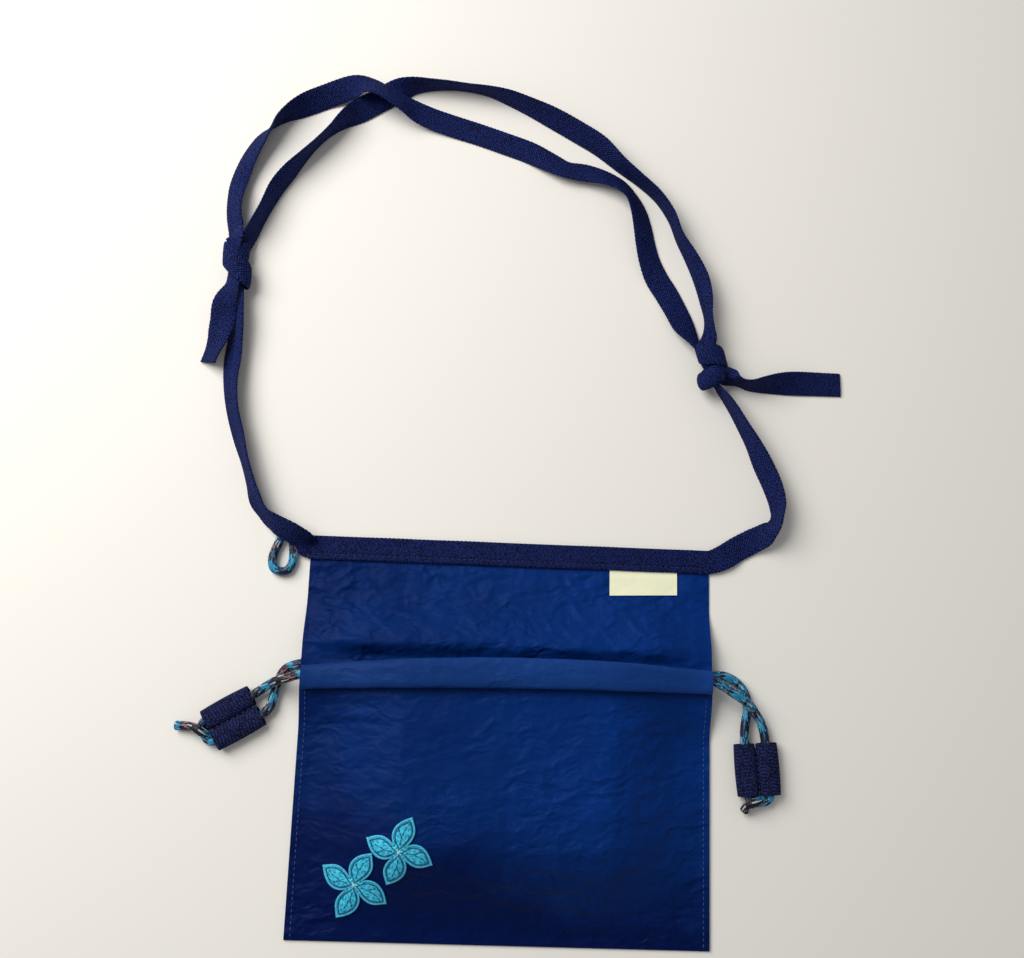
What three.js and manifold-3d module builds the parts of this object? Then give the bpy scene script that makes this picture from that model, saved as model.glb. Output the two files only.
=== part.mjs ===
// A soft phone pouch lying on its back: folded nylon body, two casings with drawcords, webbing cord keepers,
// a woven tape along the top edge that runs on as a knotted shoulder strap, a cord loop, label and patches.
// Millimetres. +X is to the right of the pouch, +Y towards its top edge, +Z up from the surface it lies on.
// The origin lies under the middle of the pouch.
import * as THREE from "three";
import { mergeVertices } from "three/addons/utils/BufferGeometryUtils.js";
import Module from "manifold-3d";

const wasm = await Module();
wasm.setup();

// Driving dimensions: the pouch
const POUCH_WIDTH = 180;
const POUCH_HEIGHT = 171; // bottom fold to the upper edge of the tape
const CLOTH = 0.6; // nylon wall
const SIDE_SEAM = 3; // flat sewn flange along each side
const FOLD = 1.2; // closed strip at the bottom fold
const MOUTH_GAP = 9.4; // how far the mouth stands open in its middle, enough for a phone
const MOUTH_ABOVE_CASING = 5; // front panel's edge above the casing's middle line
const SIDE_RAMP = 46; // how far in from the seams the pocket reaches its full thickness
const BOTTOM_RAMP = 46; // the same from the bottom fold
const BACK_RAMP = 22; // how far the back panel takes to come down beside the rear casing
const CLEARANCE = 0.3; // between pieces that touch

// Driving dimensions: cords, casings and keepers
const CORD_DIAMETER = 4;
const CORD_PLAY = 0.4; // above and below a cord in its channel
const CASING_WIDTH = 13;
const CASING_WALL = 0.5;
const CASING_INSET = 1; // casing's ends inside the pouch's sides
const CASING_ABOVE_MIDDLE = 26; // casing's middle line above the middle of the pouch
const CASING_BOW = 1.5; // how far the front casing bows up in its middle
const CASING_SLOPE = 1.8; // how far its right end lies above its bow's ends, and its left end below
const REAR_CASING_OFFSET = 3; // the rear casing is sewn higher than the front one
const KEEPER_LENGTH = 22;
const KEEPER_WALL = 1;
const KEEPER_CHANNEL_WIDTH = 7;
const KEEPER_CHANNEL_SPACING = 9.2;
const KEEPER_SIDE_WALL = 1.4;
const KEEPER_VALLEY = 1.2; // depth of the sewn groove between the two channels
const END_KNOT_RADIUS = 2.4;
const END_KNOT_LENGTH = 10; // straight part of the knot across the keeper
const LOOP_WIDTH = 9; // key loop, between the middles of its two strands
const LOOP_DROP = 17;

// Driving dimensions: tape and strap
const TAPE_WIDTH = 11.2;
const TAPE_THICKNESS = 1.2;
const STRAP_KNOT_LENGTH = 23;
const STRAP_KNOT_RADIUS = 7;
const STRAP_KNOT_FLATNESS = 0.8; // height of the knot over its width

// Driving dimensions: label and patches
const LABEL_LENGTH = 30.5;
const LABEL_HEIGHT = 10;
const LABEL_THICKNESS = 0.4;
const LABEL_FROM_RIGHT = 30; // label's middle from the pouch's right side
const PATCH_THICKNESS = 1.2;
const PETALS = 4;
const PETAL_NOTCH = 5; // patch radius between two petals
const PETAL_BULGE = 1.35; // above 1 the petals' sides bow out

// Derived sizes
const HALF_WIDTH = POUCH_WIDTH / 2;
const BOTTOM_Y = -POUCH_HEIGHT / 2;
const TOP_Y = POUCH_HEIGHT / 2;
const CORD_RADIUS = CORD_DIAMETER / 2;
const CHANNEL_HEIGHT = CORD_DIAMETER + 2 * CORD_PLAY;
const CASING_HEIGHT = CHANNEL_HEIGHT + 2 * CASING_WALL;
const CASING_LENGTH = POUCH_WIDTH - 2 * CASING_INSET;
const REAR_CASING_Y = CASING_ABOVE_MIDDLE + REAR_CASING_OFFSET;
const MOUTH_Y = CASING_ABOVE_MIDDLE + MOUTH_ABOVE_CASING;
const BACK_RISE = CASING_HEIGHT + CLEARANCE;
const BACK_RISE_HALF = CASING_WIDTH / 2 + 1;
const POCKET_TOP = BACK_RISE + MOUTH_GAP + 2 * CLOTH;
const TAPE_LOW_Y = TOP_Y - TAPE_WIDTH;
const TAPE_Z = CLOTH + CLEARANCE + TAPE_THICKNESS / 2;
const TAPE_MIDDLE_Y = TOP_Y - TAPE_WIDTH / 2;
const KEEPER_HEIGHT = CHANNEL_HEIGHT + 2 * KEEPER_WALL;
const KEEPER_Z = KEEPER_HEIGHT / 2;
const CHANNEL_OFFSET = KEEPER_CHANNEL_SPACING / 2;
const KEEPER_HALF_WIDTH = CHANNEL_OFFSET + KEEPER_CHANNEL_WIDTH / 2 + KEEPER_SIDE_WALL;
const CASING_END_X = CASING_LENGTH / 2;

// Grid of the cloth
const POCKET_COLUMNS = 24;
const POCKET_ROWS = 16;
const UPPER_ROWS = 9;

// Where the two keepers lie: their middles out from the casings' ends and below them, and their axes' turn
const KEEPERS = {
  left: { side: -1, reach: 28.8, drop: 21.6, turn: 31 },
  right: { side: 1, reach: 21.5, drop: 36, turn: 94.5 },
};

// The cut cord end at each end knot, in the keeper's frame: where it leaves the knot and where it stops
const END_TAILS = {
  left: { from: 4.5, along: -9.4, across: 9.6 },
  right: { from: 4.6, along: -3.6, across: 7.4 },
};

// Drawcord routes between a keeper and a casing, in the keeper's frame: along its axis towards the pouch,
// across, height. The channel that a cord comes out of is 1 or -1 across.
const DRAWCORDS = {
  front: {
    left: {
      channel: 1,
      route: [[15.5, 4.9, 3.6], [19.5, 5, 5.5], [23.5, 4.8, 8], [28.5, 3.6, 9.8]],
    },
    right: {
      channel: -1,
      route: [[16, -4.3, 3.4], [20, -3.3, 3.6], [24, -0.8, 5.4], [28, 2.4, 8], [32.5, 8.5, 9.8]],
    },
  },
  rear: {
    left: {
      channel: -1,
      route: [[13.5, -4.3, 3.3], [16, -3.3, 3.2], [19.5, 0.4, 2.6], [24, 4.9, 2.5], [29, 7.8, 2.6]],
    },
    right: {
      channel: 1,
      route: [[16, 4.2, 3.3], [20, 3.4, 3.2], [25, 2, 2.6], [31, 2, 2.5], [36.5, 4.8, 2.5], [40.5, 11, 2.6]],
    },
  },
};
const CHANNEL_POINTS = 3; // steps of a cord inside a keeper
const CASING_POINTS = 14; // steps of a cord inside a casing

// Facets: steps along cords and loop, and steps of the curves in each section
const CORD_STEPS = 64;
const LOOP_STEPS = 20;
const CORD_CURVE = 5;
const CORD_SIDES = 2 * CORD_CURVE;
const CASING_CURVE = 2;
const CHANNEL_CURVE = 3;
const KEEPER_CURVE = 4;
const KNOT_CAP = 4;
const SAME_POINT = 1e-4; // corners nearer than this are one corner

// Strap knots: middle and turn
const STRAP_KNOTS = {
  left: { x: -132.5, y: 210, turn: 2 },
  right: { x: 90.8, y: 171.4, turn: 14 },
};

// Where the runs stop at a knot, in its own frame: place across, roll of the tape in degrees, lift
const KNOT_SEAT = STRAP_KNOT_LENGTH / 2 + 2 * CLEARANCE; // along, at either end
const SEATS = {
  leftRiser: [1, -55, 0],
  rightRiser: [1, -84, 0],
  innerFromRight: [-4.8, 32, 0.6],
  innerToLeft: [-2.9, -118, 0],
  outerFromLeft: [3.8, 86, 0],
  outerToRight: [1.9, 82, 0],
  leftTail: [-5.1, -8, 5.2],
  rightTail: [STRAP_KNOT_RADIUS + CLEARANCE, 80, 0],
};
const RIGHT_TAIL_SEAT = -7.2; // along, at the knot's side

// Strap routes between those places: x, y, roll of the tape about its run in degrees, lift above the surface.
// A positive roll raises the tape's left edge, as seen along the run. Past 90 degrees its back shows.
const OVER_LOOP = CORD_DIAMETER + CLEARANCE + 0.2;
const LEFT_RISER_ROUTE = [
  [-94.6, 82.4, -6, OVER_LOOP], [-98, 84.6, -10, OVER_LOOP], [-102, 86.8, -16, OVER_LOOP],
  [-106, 89.2, -34, 3.4], [-109.6, 92, -58, 1], [-112.6, 95.4, -62, 0], [-115.6, 100, -55, 0],
  [-118.4, 108, -63, 0], [-121.6, 117.4, -65, 0], [-125.4, 128.6, -56, 0], [-129.3, 141.4, -53, 0],
  [-131.2, 153, -47, 0], [-131.4, 165, -37, 0], [-130.8, 176, -44, 0], [-130.8, 188, -52, 0],
];
const RIGHT_RISER_ROUTE = [
  [96.4, 82.6, -4, 0.6], [103, 86.8, 0, 0.3], [109.5, 90.4, -5, 0], [115, 93.4, -24, 0],
  [118.4, 97, -62, 0], [120.3, 101.4, -76, 0], [120.6, 107.4, -66, 0], [118.6, 115.4, -57, 0],
  [114.2, 125.6, -55, 0], [109.6, 135.2, -61, 0], [104.8, 143.7, -79, 0], [100.4, 151.4, -88, 0],
  [97.4, 156, -86, 0],
];
const INNER_RUN_ROUTE = [
  [77.9, 191, 18, 0.2], [73.9, 199.5, 9, 0], [69.6, 207.6, 2, 0], [64.7, 215.4, 3, 0], [61.2, 223.2, 17, 0],
  [59, 231.8, 26, 0], [57.4, 240.4, 32, 0], [55.2, 248.6, 40, 0], [51.6, 255.6, 48, 0], [46, 261.2, 40, 0],
  [38.4, 264.8, 31, 0], [29.5, 267, 20, 0], [20, 268.2, 23, 0], [11.4, 272.4, 11, 0], [2.4, 277, 0, 0],
  [-10, 281.2, 0, 0], [-24, 285.6, 0, 0], [-36.2, 288.8, 0, 0.6], [-46, 291.3, 2, 1.6],
  [-53.4, 293.6, 10, 2.8], [-59.4, 295.9, 25, 4.4], [-65, 298.6, 32, 5.4], [-71, 301.6, 34, 5.8],
  [-76.8, 303.8, 24, 5.6], [-83, 304.2, -4, 5.4], [-90, 302.4, -26, 1.6], [-97.4, 299.6, -32, 0],
  [-104.6, 295.6, -42, 0], [-110.4, 291.6, -62, 0], [-115.2, 288.2, -82, 0], [-119.4, 284.4, -97, 0],
  [-123, 279.8, -118, 0], [-126.4, 275.8, -133, 0], [-130.2, 269.6, -141, 0], [-134, 261.8, -148, 0],
  [-136.8, 252.6, -150, 0], [-137.5, 243.6, -140, 0], [-136.6, 235.2, -126, 0], [-135, 228, -122, 0],
];
const OUTER_RUN_ROUTE = [
  [-126, 229.6, 88, 0], [-122, 239, 80, 0], [-117.2, 249.4, 70, 0], [-111.8, 258, 73, 0],
  [-106, 266.2, 88, 0], [-100, 273.8, 97, 0], [-93.6, 281, 93, 0], [-87, 287.6, 70, 0],
  [-79.6, 294.2, 28, 0], [-71, 300.4, 14, 0], [-63, 304.2, 40, 0], [-56.4, 306.2, 72, 0],
  [-48, 307.3, 90, 0], [-38, 307.6, 99, 0], [-29, 307, 102, 0], [-18.7, 305.6, 95, 0], [-9, 302.8, 81, 0],
  [1.8, 298.5, 71, 0], [13, 293.5, 57, 0], [25, 287, 54, 0], [36, 280.2, 58, 0], [46.5, 270.5, 76, 0],
  [56, 262.8, 85, 0], [64.5, 255, 86, 0], [71, 245.2, 85, 0], [75, 234.6, 85, 0], [80.6, 224.4, 75, 0],
  [85.2, 214.4, 67, 0], [87.6, 204.6, 72, 0], [88.7, 194.6, 84, 0],
];
const LEFT_TAIL_ROUTE = [
  [-136.6, 190, 0, 6.4], [-137.2, 182.8, 4, 5.8], [-138.2, 176.6, 16, 3.6], [-139.8, 171.4, 32, 1.2],
  [-141.3, 167.2, 40, 0], [-142.5, 162.9, 40, 0],
];
const RIGHT_TAIL_ROUTE = [
  [103.2, 164.2, 88, 0], [108.2, 163.2, 82, 0], [114.2, 163.8, 64, 0], [121, 164.8, 44, 0],
  [130, 165.8, 22, 0], [141, 166.4, 5, 0], [152.4, 166.6, 0, 0],
];
const TAPE_STEP = 4; // spacing of the sections along a strap run

// A strap knot's outline: radius and height as shares of its own
const KNOT_OUTLINE = [
  [0, -1], [0.72, -1], [0.95, -0.8], [1, -0.45], [0.86, -0.08], [0.98, 0.4], [0.9, 0.78], [0.7, 1], [0, 1],
];
const KNOT_SIDES = 14;

// One side of the key loop: place across and below its top, as shares of its half width and its drop
const LOOP_SIDE = [[0.68, 0], [0.68, 0.18], [0.9, 0.45], [1, 0.7], [0.7, 0.93]];
const KEY_LOOP = { fromLeft: -10.4, fromTop: 0.1, lean: -8 };

// Flower patches: middle from the pouch's left side and bottom, turn of the first petal, petal length
const PATCHES = {
  flower_patch_lower: { fromLeft: 28.7, fromBottom: 23.5, turn: 62.5, reach: 15 },
  flower_patch_upper: { fromLeft: 47.3, fromBottom: 38.7, turn: 70.5, reach: 14.2 },
};
const PATCH_STEPS = 12 * PETALS;
const PATCH_RINGS = [0.01, 0.35, 0.7, 1];

// Corner rounding as a share of half the height
const CASING_ROUNDING = 0.8;
const KEEPER_ROUNDING = 0.7;
const KEEPER_SHOULDER = 0.6; // where the sewn groove begins, as a share of the channel's offset
const KEEPER_GROOVE_BEND = 1;

const degrees = THREE.MathUtils.degToRad;

/** Evenly spaced numbers from first to last, both included. */
function spread(first, last, steps) {
  return Array.from({ length: steps + 1 }, (_, i) => first + ((last - first) * i) / steps);
}

/** Height of the back panel's underside: flat, and lifted over the rear casing. */
function backHeight(y) {
  const away = Math.abs(y - REAR_CASING_Y) - BACK_RISE_HALF;
  return BACK_RISE * (1 - THREE.MathUtils.smoothstep(away, 0, BACK_RAMP));
}

/** Height of the front panel's outer face: a low pillow between the side seams and the bottom fold. */
function frontHeight(x, y) {
  const seam = backHeight(y) + 2 * CLOTH;
  const across = THREE.MathUtils.smoothstep(HALF_WIDTH - SIDE_SEAM - Math.abs(x), 0, SIDE_RAMP);
  const along = THREE.MathUtils.smoothstep(y - BOTTOM_Y - FOLD, 0, BOTTOM_RAMP);
  return seam + (POCKET_TOP - seam) * across * along;
}

const pocketXs = spread(SIDE_SEAM - HALF_WIDTH, HALF_WIDTH - SIDE_SEAM, POCKET_COLUMNS);
const clothXs = [-HALF_WIDTH, ...pocketXs, HALF_WIDTH];
const pocketYs = [BOTTOM_Y, ...spread(BOTTOM_Y + FOLD, MOUTH_Y, POCKET_ROWS)];
const upperYs = spread(MOUTH_Y, TOP_Y, UPPER_ROWS);

/** Collects triangles as loose points and turns them into one geometry. */
class FaceList {
  constructor() {
    this.points = [];
  }

  /** Adds a four-sided face, its corners anticlockwise as seen from outside. */
  quad(a, b, c, d) {
    this.points.push(...a, ...b, ...c, ...a, ...c, ...d);
  }

  /** Adds a height field over a grid, facing up or down. */
  field(xs, ys, height, facesUp) {
    for (let i = 0; i + 1 < xs.length; i += 1) {
      for (let j = 0; j + 1 < ys.length; j += 1) {
        const [a, b, c, d] = [[i, j], [i + 1, j], [i + 1, j + 1], [i, j + 1]].map(([p, q]) => [
          xs[p], ys[q], height(xs[p], ys[q]),
        ]);
        if (facesUp) this.quad(a, b, c, d);
        else this.quad(a, d, c, b);
      }
    }
  }

  /** Adds the wall between two height fields along a run of plan points, outside to the right of the run. */
  wall(plan, low, high) {
    for (let i = 0; i + 1 < plan.length; i += 1) {
      const [p, q] = [plan[i], plan[i + 1]];
      this.quad([...p, low(...p)], [...q, low(...q)], [...q, high(...q)], [...p, high(...p)]);
    }
  }

  /** Adds the skin between two rings of the same number of points. */
  band(ring, next) {
    ring.forEach((point, i) => {
      const j = (i + 1) % ring.length;
      this.quad(point, ring[j], next[j], next[i]);
    });
  }

  geometry() {
    const position = new THREE.Float32BufferAttribute(this.points, 3);
    return new THREE.BufferGeometry().setAttribute("position", position);
  }
}

/** The folded sheet: back panel up to the tape, bottom fold, front panel up to the mouth, sides sewn flat. */
function pouchBody() {
  const under = (x, y) => backHeight(y);
  const inside = (x, y) => backHeight(y) + CLOTH;
  const outside = (x, y) => frontHeight(x, y);
  const lining = (x, y) => frontHeight(x, y) - CLOTH;
  const innerYs = pocketYs.slice(1);
  const [first, last] = [-HALF_WIDTH, HALF_WIDTH];
  const faces = new FaceList();
  faces.field(clothXs, [...pocketYs, ...upperYs.slice(1)], under, false);
  faces.field(clothXs, pocketYs, outside, true);
  faces.field(pocketXs, innerYs, lining, false);
  faces.field(pocketXs, innerYs, inside, true);
  faces.field(clothXs, upperYs, inside, true);
  for (const [low, high] of [[under, inside], [inside, outside]]) {
    faces.wall(clothXs.map((x) => [x, BOTTOM_Y]), low, high);
    faces.wall(pocketYs.map((y) => [last, y]), low, high);
    faces.wall(pocketYs.map((y) => [first, y]).reverse(), low, high);
  }
  faces.wall(upperYs.map((y) => [last, y]), under, inside);
  faces.wall(clothXs.map((x) => [x, TOP_Y]).reverse(), under, inside);
  faces.wall(upperYs.map((y) => [first, y]).reverse(), under, inside);
  faces.wall(pocketXs.map((x) => [x, MOUTH_Y]).reverse(), lining, outside);
  faces.wall([[pocketXs[0], MOUTH_Y], [first, MOUTH_Y]], inside, outside);
  faces.wall([[last, MOUTH_Y], [pocketXs.at(-1), MOUTH_Y]], inside, outside);
  return faces.geometry();
}

/** A rounded rectangle as a closed outline, middle at the origin. */
function roundedOutline(width, height, Outline) {
  const [w, h] = [width / 2, height / 2];
  const r = h * CASING_ROUNDING;
  const outline = new Outline();
  outline.moveTo(-w + r, -h);
  outline.lineTo(w - r, -h);
  outline.absarc(w - r, -h + r, r, -Math.PI / 2, 0, false);
  outline.lineTo(w, h - r);
  outline.absarc(w - r, h - r, r, 0, Math.PI / 2, false);
  outline.lineTo(-w + r, h);
  outline.absarc(-w + r, h - r, r, Math.PI / 2, Math.PI, false);
  outline.lineTo(-w, -h + r);
  outline.absarc(-w + r, -h + r, r, Math.PI, Math.PI * 1.5, false);
  return outline;
}

/** Turns an extrusion so that it runs along X, with its section's width along Y and its height along Z. */
function alongX(geometry, length) {
  const turn = new THREE.Matrix4().makeBasis(
    new THREE.Vector3(0, 1, 0),
    new THREE.Vector3(0, 0, 1),
    new THREE.Vector3(1, 0, 0),
  );
  return geometry.translate(0, 0, -length / 2).applyMatrix4(turn);
}

/** A straight casing tube along X, middle at the origin, in a number of steps. */
function casingTube(steps) {
  const section = roundedOutline(CASING_WIDTH, CASING_HEIGHT, THREE.Shape);
  section.holes.push(roundedOutline(CASING_WIDTH - 2 * CASING_WALL, CHANNEL_HEIGHT, THREE.Path));
  const tube = new THREE.ExtrudeGeometry(section, {
    depth: CASING_LENGTH,
    steps,
    curveSegments: CASING_CURVE,
    bevelEnabled: false,
  });
  return alongX(tube, CASING_LENGTH);
}

/** Middle of the front casing at a place across the pouch: it bows up and arches over the open mouth. */
function frontCasingMiddle(x) {
  const share = x / CASING_END_X;
  return {
    y: CASING_ABOVE_MIDDLE + CASING_BOW * (1 - share * share) + CASING_SLOPE * share,
    z: frontHeight(x, MOUTH_Y) + CLEARANCE + CASING_HEIGHT / 2,
  };
}

/** The front casing, bent to follow the front panel's edge. */
function frontCasing() {
  const tube = casingTube(POCKET_COLUMNS);
  const position = tube.getAttribute("position");
  for (let i = 0; i < position.count; i += 1) {
    const middle = frontCasingMiddle(position.getX(i));
    position.setY(i, position.getY(i) + middle.y);
    position.setZ(i, position.getZ(i) + middle.z);
  }
  return tube;
}

/** A round cord through a list of points. */
function roundCord(points, steps) {
  const section = new THREE.Shape().absarc(0, 0, CORD_RADIUS, 0, Math.PI * 2, false);
  const path = new THREE.CatmullRomCurve3(points, false, "centripetal");
  return new THREE.ExtrudeGeometry(section, {
    extrudePath: path,
    steps,
    curveSegments: CORD_CURVE,
    bevelEnabled: false,
  });
}

/** Middle of a keeper on the surface. */
function keeperPlace({ side, reach, drop }) {
  return new THREE.Vector3(side * (CASING_END_X + reach), CASING_ABOVE_MIDDLE - drop, 0);
}

/** A cord's points from a keeper's outer end through its channel and along a route, in the part's frame. */
function keeperRoute(keeper, { channel, route }) {
  const turn = new THREE.Matrix4().makeRotationZ(degrees(keeper.turn)).setPosition(keeperPlace(keeper));
  const inside = spread(-KEEPER_LENGTH / 2, KEEPER_LENGTH / 2, CHANNEL_POINTS).map((along) => [
    along, channel * CHANNEL_OFFSET, KEEPER_Z,
  ]);
  return [...inside, ...route].map((point) => new THREE.Vector3(...point).applyMatrix4(turn));
}

/** A drawcord from the left end knot through both keepers and one casing to the right end knot. */
function drawcord({ left, right }, casingMiddle) {
  const inCasing = spread(1 - CASING_END_X, CASING_END_X - 1, CASING_POINTS).map((x) => {
    const { y, z } = casingMiddle(x);
    return new THREE.Vector3(x, y, z);
  });
  const fromLeft = keeperRoute(KEEPERS.left, left);
  const fromRight = keeperRoute(KEEPERS.right, right);
  return roundCord([...fromLeft, ...inCasing, ...fromRight.reverse()], CORD_STEPS);
}

/** A webbing keeper along X: two channels side by side, sewn together in a groove between them. */
function keeperBody() {
  const [w, h] = [KEEPER_HALF_WIDTH, KEEPER_HEIGHT / 2];
  const r = h * KEEPER_ROUNDING;
  const valley = h - KEEPER_VALLEY;
  const shoulder = CHANNEL_OFFSET * KEEPER_SHOULDER;
  const bend = KEEPER_GROOVE_BEND;
  const section = new THREE.Shape();
  section.moveTo(0, -valley);
  section.quadraticCurveTo(bend, -h, shoulder, -h);
  section.lineTo(w - r, -h);
  section.absarc(w - r, -h + r, r, -Math.PI / 2, 0, false);
  section.absarc(w - r, h - r, r, 0, Math.PI / 2, false);
  section.lineTo(shoulder, h);
  section.quadraticCurveTo(bend, h, 0, valley);
  section.quadraticCurveTo(-bend, h, -shoulder, h);
  section.lineTo(r - w, h);
  section.absarc(r - w, h - r, r, Math.PI / 2, Math.PI, false);
  section.absarc(r - w, r - h, r, Math.PI, Math.PI * 1.5, false);
  section.lineTo(-shoulder, -h);
  section.quadraticCurveTo(-bend, -h, 0, -valley);
  for (const side of [-1, 1]) {
    const channel = roundedOutline(KEEPER_CHANNEL_WIDTH, CHANNEL_HEIGHT, THREE.Path);
    const points = channel.getPoints(CHANNEL_CURVE);
    points.forEach((point) => point.setX(point.x + side * CHANNEL_OFFSET));
    section.holes.push(new THREE.Path(points));
  }
  const body = new THREE.ExtrudeGeometry(section, {
    depth: KEEPER_LENGTH,
    curveSegments: KEEPER_CURVE,
    bevelEnabled: false,
  });
  return alongX(body, KEEPER_LENGTH);
}

/** A closed geometry as a solid for joining. */
function solidOf(geometry) {
  const bare = geometry.clone();
  bare.deleteAttribute("normal");
  bare.deleteAttribute("uv");
  const merged = mergeVertices(bare, SAME_POINT);
  return new wasm.Manifold(
    new wasm.Mesh({
      numProp: 3,
      vertProperties: merged.getAttribute("position").array,
      triVerts: new Uint32Array(merged.index.array),
    }),
  );
}

/** A solid as a geometry. */
function geometryOf(solid) {
  const mesh = solid.getMesh();
  return new THREE.BufferGeometry()
    .setAttribute("position", new THREE.BufferAttribute(mesh.vertProperties, 3))
    .setIndex(new THREE.BufferAttribute(mesh.triVerts, 1));
}

/** Two cord ends tied across a keeper's outer end, with one cut end standing off. In the keeper's frame. */
function endKnot(tail) {
  const middle = new THREE.Vector3(
    -KEEPER_LENGTH / 2 - CLEARANCE - END_KNOT_RADIUS,
    0,
    END_KNOT_RADIUS + CLEARANCE,
  );
  const knot = new THREE.CapsuleGeometry(END_KNOT_RADIUS, END_KNOT_LENGTH, KNOT_CAP, CORD_SIDES);
  knot.translate(middle.x, middle.y, middle.z);
  const end = new THREE.Vector3(middle.x + tail.along, tail.across, CORD_RADIUS + CLEARANCE);
  const start = new THREE.Vector3(middle.x, tail.from, middle.z);
  const run = new THREE.Vector3().subVectors(end, start);
  const stub = new THREE.CylinderGeometry(CORD_RADIUS, CORD_RADIUS, run.length(), CORD_SIDES);
  const lean = new THREE.Quaternion().setFromUnitVectors(new THREE.Vector3(0, 1, 0), run.clone().normalize());
  stub.applyQuaternion(lean);
  stub.translate((start.x + end.x) / 2, (start.y + end.y) / 2, (start.z + end.z) / 2);
  return geometryOf(solidOf(knot).add(solidOf(stub)));
}

/** A loop of cord hanging from the strap corner. */
function keyLoop() {
  const turn = new THREE.Matrix4()
    .makeRotationZ(degrees(KEY_LOOP.lean))
    .setPosition(KEY_LOOP.fromLeft - HALF_WIDTH, TOP_Y - KEY_LOOP.fromTop, CORD_RADIUS);
  const strand = (side) =>
    LOOP_SIDE.map(([out, down]) => new THREE.Vector3((side * out * LOOP_WIDTH) / 2, -down * LOOP_DROP, 0));
  const points = [...strand(-1), new THREE.Vector3(0, -LOOP_DROP, 0), ...strand(1).reverse()];
  return roundCord(points.map((point) => point.applyMatrix4(turn)), LOOP_STEPS);
}

/** A flat tape along a route of x, y, roll and lift, lying on the surface by its lower edge. */
function flatTape(route, firstDirection) {
  const [halfWidth, halfThickness] = [TAPE_WIDTH / 2, TAPE_THICKNESS / 2];
  const points = route.map(([x, y, , lift]) => new THREE.Vector3(x, y, lift));
  const path = new THREE.CatmullRomCurve3(points, false, "centripetal");
  const rolls = new THREE.CatmullRomCurve3(route.map(([, , roll]) => new THREE.Vector3(roll, 0, 0)));
  const steps = Math.max(route.length - 1, Math.round(path.getLength() / TAPE_STEP));
  const rings = spread(0, 1, steps).map((share) => {
    const roll = degrees(rolls.getPoint(share).x);
    const middle = path.getPoint(share);
    const rise = halfWidth * Math.abs(Math.sin(roll)) + halfThickness * Math.abs(Math.cos(roll));
    middle.z = Math.max(middle.z, 0) + rise;
    const tangent = share === 0 && firstDirection ? firstDirection.clone() : path.getTangent(share);
    tangent.setZ(0).normalize();
    const level = new THREE.Vector3(-tangent.y, tangent.x, 0);
    const across = level.applyAxisAngle(tangent, roll);
    const face = new THREE.Vector3().crossVectors(tangent, across);
    across.multiplyScalar(halfWidth);
    face.multiplyScalar(halfThickness);
    return [[-1, -1], [1, -1], [1, 1], [-1, 1]].map(([a, b]) =>
      middle.clone().addScaledVector(across, a).addScaledVector(face, b).toArray(),
    );
  });
  const faces = new FaceList();
  rings.slice(1).forEach((ring, i) => faces.band(rings[i], ring));
  const last = rings[rings.length - 1];
  faces.quad(...rings[0].slice().reverse());
  faces.quad(...last);
  return faces.geometry();
}

/** A strap riser starts at the tape's end on the pouch's corner and runs along its route. */
function strapRiser(side, route) {
  const lift = TAPE_Z - TAPE_THICKNESS / 2;
  const start = [side * (HALF_WIDTH + CLEARANCE), TAPE_MIDDLE_Y, 0, lift];
  return flatTape([start, ...route], new THREE.Vector3(side, 0, 0));
}

/** Where a run meets a strap knot: a route point from a place in the knot's frame. */
function knotSeat({ x, y, turn }, along, [across, roll, lift]) {
  const place = new THREE.Vector2(across, along).rotateAround(new THREE.Vector2(), degrees(turn));
  return [x + place.x, y + place.y, roll, lift];
}

/** A tape end wrapped twice round the other run: a barrel with a groove, flattened where it lies. */
function strapKnot() {
  const outline = KNOT_OUTLINE.map(
    ([r, h]) => new THREE.Vector2(r * STRAP_KNOT_RADIUS, (h * STRAP_KNOT_LENGTH) / 2),
  );
  return new THREE.LatheGeometry(outline, KNOT_SIDES).scale(1, 1, STRAP_KNOT_FLATNESS);
}

/** Patch radius at an angle: pointed petals with bowed sides. */
function petalRadius(angle, reach) {
  const sector = (Math.PI * 2) / PETALS;
  const off = Math.abs(THREE.MathUtils.euclideanModulo(angle + sector / 2, sector) - sector / 2);
  return PETAL_NOTCH + (reach - PETAL_NOTCH) * (1 - Math.pow(off / (sector / 2), PETAL_BULGE));
}

/** Height of the faceted front panel at a place, from the cell of the cloth's grid that it lies in. */
function panelHeight(x, y) {
  const i = clothXs.findIndex((value, n) => n > 0 && x <= value) - 1;
  const j = pocketYs.findIndex((value, n) => n > 0 && y <= value) - 1;
  const u = (x - clothXs[i]) / (clothXs[i + 1] - clothXs[i]);
  const v = (y - pocketYs[j]) / (pocketYs[j + 1] - pocketYs[j]);
  const corner = (p, q) => frontHeight(clothXs[i + p], pocketYs[j + q]);
  if (u >= v) return corner(0, 0) + u * (corner(1, 0) - corner(0, 0)) + v * (corner(1, 1) - corner(1, 0));
  return corner(0, 0) + v * (corner(0, 1) - corner(0, 0)) + u * (corner(1, 1) - corner(0, 1));
}

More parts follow.
